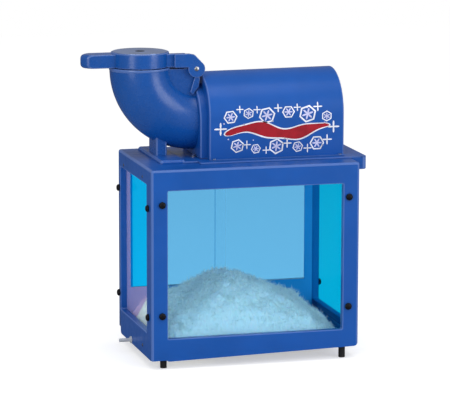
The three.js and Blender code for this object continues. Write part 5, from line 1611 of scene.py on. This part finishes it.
class SHAVER_OT_knobs(bpy.types.Operator):
    """Window knobs and legs"""

    bl_idname = "shaver.knobs"
    bl_label = "Knobs and Legs"
    bl_options = {"REGISTER", "UNDO"}

    def execute(self, context):
        sizes = context.scene.shaver_sizes
        finish = finishes()
        for side, axis, way in (("front", "y", -1), ("left", "x", -1), ("right", "x", 1)):
            for number in range(1, 5):
                node = f"{side}_knob_{number}"
                skin = build_knob(node, axis, way, sizes.knob_lobes, sizes.knob_swell)
                make_piece(node + "_dressed", skin, [finish["black_plastic"]], "machine",
                           (node,), sharp=SHEET_SHARP)
        for number in range(1, 5):
            node = f"leg_{number}"
            make_piece(node + "_dressed", build_leg(node), [finish["black_rubber"]], "machine",
                       (node,), sharp=LEG_SHARP)
        return {"FINISHED"}


class SHAVER_OT_ice(bpy.types.Operator):
    """Heap of shaved ice in the bin"""

    bl_idname = "shaver.ice"
    bl_label = "Shaved Ice"
    bl_options = {"REGISTER", "UNDO"}

    def execute(self, context):
        sizes = context.scene.shaver_sizes
        finish = finishes()
        make_piece("ice_heap", build_heap(sizes.lump, sizes.crumb), [finish["shaved_ice"]], "machine",
                   ("shaved_ice_heap",), sharp=ICE_SHARP, settled=False)
        make_piece("ice_flakes", build_flakes(sizes.flakes), [finish["shaved_ice"]], "machine",
                   sharp=ICE_SHARP, settled=False)
        return {"FINISHED"}


class SHAVER_OT_hopper(bpy.types.Operator):
    """Cast elbow hopper with its foot, and the cutter housing"""

    bl_idname = "shaver.hopper"
    bl_label = "Hopper and Housing"
    bl_options = {"REGISTER", "UNDO"}

    def execute(self, context):
        sizes = context.scene.shaver_sizes
        finish = finishes()
        make_piece("hopper_casting", build_elbow(sizes.bead),
                   [finish["casting_enamel"], finish["cabinet_enamel"]], "machine",
                   ("hopper_elbow",), sharp=CAST_SHARP)
        make_piece("housing_casting", build_housing(sizes.casting_edge), [finish["cabinet_enamel"]],
                   "machine", ("cutter_housing",), sharp=CAST_SHARP)
        return {"FINISHED"}


class SHAVER_OT_handle(bpy.types.Operator):
    """Pusher lever, its disc and the parts that swing with it"""

    bl_idname = "shaver.handle"
    bl_label = "Pusher Handle"
    bl_options = {"REGISTER", "UNDO"}

    def execute(self, context):
        sizes = context.scene.shaver_sizes
        finish = finishes()
        for name, build, replaced in (("lever_ring", build_ring, ("pusher_handle",)),
                                      ("lever_grip", build_grip, ()), ("lever_arm", build_arm, ())):
            make_piece(name, build(sizes.casting_edge), [finish["casting_enamel"]], "pusher",
                       replaced, sharp=CAST_SHARP)
        make_piece("ring_disc", build_cap_disc(), [finish["turned_disc"]], "pusher",
                   ("cap_disc",), sharp=CAST_SHARP)
        # A black plug under the disc's face: painted shade in the disc's hole
        make_piece("hole_shade_plug", build_disc_plug(), [finish["dark_hollow"]], "pusher")
        make_piece("pin_dressed", build_pin(), [finish["bright_steel"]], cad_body("hinge_pin"),
                   ("hinge_pin",))
        set_finishes(finish, (("cast_aluminium", ("pusher_horn", "pusher_plate")),))
        return {"FINISHED"}


class SHAVER_OT_cover(bpy.types.Operator):
    """Motor cover, base plate and screws"""

    bl_idname = "shaver.cover"
    bl_label = "Cover and Base Plate"
    bl_options = {"REGISTER", "UNDO"}

    def execute(self, context):
        sizes = context.scene.shaver_sizes
        finish = finishes()
        make_piece("arched_cover", build_cover(sizes.cover_edge, sizes.sheet), [finish["cabinet_enamel"]],
                   "machine", ("motor_cover",), sharp=CAST_SHARP)
        make_piece("winged_plate", build_base_plate(sizes.casting_edge), [finish["cabinet_enamel"]],
                   "machine", ("head_base_plate",), sharp=CAST_SHARP)
        make_piece("cover_picture", build_picture(), [finish[name] for name in (
            "white_film", "red_film", "lilac_film")], "machine", sharp=SHEET_SHARP)
        make_piece("plate_bolt", build_plate_bolt(), [finish["bright_steel"]], "machine")
        for node in ("cover_screw_left", "cover_screw_right"):
            dressed_copy(node, node + "_dressed", finish["bright_steel"], "machine",
                         SCREW_ROUND)
        return {"FINISHED"}


class SHAVER_OT_works(bpy.types.Operator):
    """Motor, cutter, chute, switch, gland and drain"""

    bl_idname = "shaver.works"
    bl_label = "Works"
    bl_options = {"REGISTER", "UNDO"}

    def execute(self, context):
        finish = finishes()
        set_finishes(finish, (
            ("tool_steel", ("cutter_disc", "blade_1", "blade_2", "blade_3")),
            ("bright_steel", ("hub_nut", "motor_shaft", "motor_toggle")),
            ("core_steel", ("rotor_core", "stator_pack")),
            ("black_plastic", ("cooling_fan", "motor_switch", "power_gland")),
            ("motor_paint", ("motor_shell", "motor_cradle")),
            ("cast_aluminium", ("front_end_bell", "rear_end_bell")),
            ("satin_aluminium", ("discharge_chute",)),
            ("milky_plastic", ("drain_fitting", "drain_spout"))))
        return {"FINISHED"}


# Studio

GLOSSY_SHARE = 0.07
GLOSSY_DIM = 0.15
FLOOR_LIT, FLOOR_SEEN = 0.78, 0.48
WORLD_LIT, WORLD_SEEN, WORLD_MIRRORED = 0.66, 1.0, 0.32
FLOOR_CORNERS = ((-6, -8, 0), (6, -8, 0), (6, 6, 0), (-6, 6, 0))
SENSOR = 36.0
CAMERA_AIM = (167.6, 0.0, 358.2)
CAMERA_REACH = 100.0
LAMP_AIM = (0, 0, 0.35)
KEY_PLACE, KEY_SIZE = (1.9, -2.1, 1.1), (1.4, 2.1)
FILL_PLACE, FILL_SIZE = (-2.45, -2.3, 1.1), (1.2, 2.1)
TOP_PLACE, TOP_AIM, TOP_SIZE = (-0.1, -0.8, 2.9), (0, 0, 0.4), (2.0, 1.6)
TOP_POWER = 21.0


def ray_shares(tree):
    """One for rays that camera or glass send straight, and one for those mirrored by a surface."""
    path = add_node(tree, "ShaderNodeLightPath").outputs
    through = path["Is Transmission Ray"]
    direct = combined(tree, "MAXIMUM", path["Is Camera Ray"], through)
    return direct, combined(tree, "SUBTRACT", path["Is Glossy Ray"], through, clamp=True)


def studio_colour(name, lit, seen):
    """A surface that takes light as a pale colour, with a part of white added for what the camera,
    gloss and glass see, so that it reads as white there and keeps shadows."""
    finish = Finish(name, lit, 0.9, specular=0.0)
    direct, mirrored = ray_shares(finish.tree)
    pale = finish.drifted(finish.noise(30.0, 3.0), lit, 0.985, 1.0)
    shown = combined(finish.tree, "MULTIPLY_ADD", mirrored, GLOSSY_SHARE, direct, clamp=True)
    return finish.put({
        "Base Color": finish.blend(mirrored, pale, shaded(lit, GLOSSY_DIM)),
        "Emission Color": (1, 1, 1, 1),
        "Emission Strength": combined(finish.tree, "MULTIPLY", shown, seen)}).material


def studio_sheet(name, corners, material):
    """A flat sheet of the studio."""
    mesh = bpy.data.meshes.new(name)
    mesh.from_pydata([tuple(corner) for corner in corners], [], [tuple(range(len(corners)))])
    mesh.materials.append(material)
    sheet = bpy.data.objects.new(name, mesh)
    bpy.context.scene.collection.objects.link(sheet)


def lamp(name, place, aim, size, power):
    """A square-on area lamp at a place, turned towards an aim."""
    light = bpy.data.lights.new(name, "AREA")
    light.shape = "RECTANGLE"
    light.size, light.size_y = size
    light.energy = power
    holder = bpy.data.objects.new(name, light)
    bpy.context.scene.collection.objects.link(holder)
    way = Vector(aim) - Vector(place)
    holder.location = place
    holder.rotation_euler = way.to_track_quat("-Z", "Y").to_euler()


class SHAVER_OT_studio(bpy.types.Operator):
    """Floor, backdrop, lamps, world and camera"""

    bl_idname = "shaver.studio"
    bl_label = "Studio"
    bl_options = {"REGISTER", "UNDO"}

    def execute(self, context):
        scene = context.scene
        studio = scene.shaver_studio
        studio_sheet("floor", FLOOR_CORNERS, studio_colour("studio_floor", (FLOOR_LIT,) * 3, FLOOR_SEEN))
        world = bpy.data.worlds.new("studio_world")
        scene.world = world
        world.use_nodes = True
        tree = world.node_tree
        direct, mirrored = ray_shares(tree)
        strength = combined(tree, "MULTIPLY_ADD", direct, WORLD_SEEN - WORLD_LIT, WORLD_LIT)
        dimmed = combined(tree, "MULTIPLY_ADD", mirrored, WORLD_MIRRORED - WORLD_LIT, strength)
        feed(tree, tree.nodes["Background"], {"Color": (1, 1, 1, 1), "Strength": dimmed})
        lamp("key_lamp", KEY_PLACE, LAMP_AIM, KEY_SIZE, studio.key)
        lamp("fill_lamp", FILL_PLACE, LAMP_AIM, FILL_SIZE, studio.fill)
        lamp("top_lamp", TOP_PLACE, TOP_AIM, TOP_SIZE, TOP_POWER)
        camera = bpy.data.cameras.new("camera")
        camera.sensor_width = SENSOR
        camera.lens = studio.lens
        camera.clip_end = CAMERA_REACH
        holder = bpy.data.objects.new("camera", camera)
        scene.collection.objects.link(holder)
        aim = Vector(cab(CAMERA_AIM))
        back_way = Vector((math.cos(studio.elevation) * math.sin(studio.azimuth),
                           -math.cos(studio.elevation) * math.cos(studio.azimuth),
                           math.sin(studio.elevation)))
        turn = back_way.to_track_quat("Z", "Y").to_matrix().to_4x4()
        place = Matrix.Translation(aim + back_way * studio.distance)
        holder.matrix_world = place @ turn @ Matrix.Rotation(studio.roll, 4, "Z")
        scene.camera = holder
        scene.view_settings.view_transform = "Standard"
        return {"FINISHED"}


class SHAVER_PT_panel(bpy.types.Panel):
    """Sidebar list of the pieces"""

    bl_label = "Ice Shaver"
    bl_space_type = "VIEW_3D"
    bl_region_type = "UI"
    bl_category = "Ice Shaver"

    def draw(self, context):
        column = self.layout.column(align=True)
        for operator in OPERATORS:
            column.operator(operator.bl_idname)
        for group in (context.scene.shaver_sizes, context.scene.shaver_colours, context.scene.shaver_studio):
            for name in group.__annotations__:
                self.layout.prop(group, name)


OPERATORS = (SHAVER_OT_cabinet, SHAVER_OT_windows, SHAVER_OT_knobs, SHAVER_OT_ice, SHAVER_OT_hopper,
             SHAVER_OT_handle, SHAVER_OT_cover, SHAVER_OT_works, SHAVER_OT_studio)
GROUPS = {"shaver_sizes": ShaverSizes, "shaver_colours": ShaverColours, "shaver_studio": ShaverStudio}


def register():
    for kind in (*GROUPS.values(), *OPERATORS, SHAVER_PT_panel):
        bpy.utils.register_class(kind)
    for name, kind in GROUPS.items():
        setattr(bpy.types.Scene, name, bpy.props.PointerProperty(type=kind))


def unregister():
    for name in GROUPS:
        delattr(bpy.types.Scene, name)
    for kind in reversed((*GROUPS.values(), *OPERATORS, SHAVER_PT_panel)):
        bpy.utils.unregister_class(kind)


def main():
    """Builds every piece and the studio."""
    register()
    for operator in OPERATORS:
        group, name = operator.bl_idname.split(".")
        if getattr(getattr(bpy.ops, group), name)() != {"FINISHED"}:
            raise RuntimeError(f"{operator.bl_label} wasn't built")


if __name__ == "__main__":
    main()
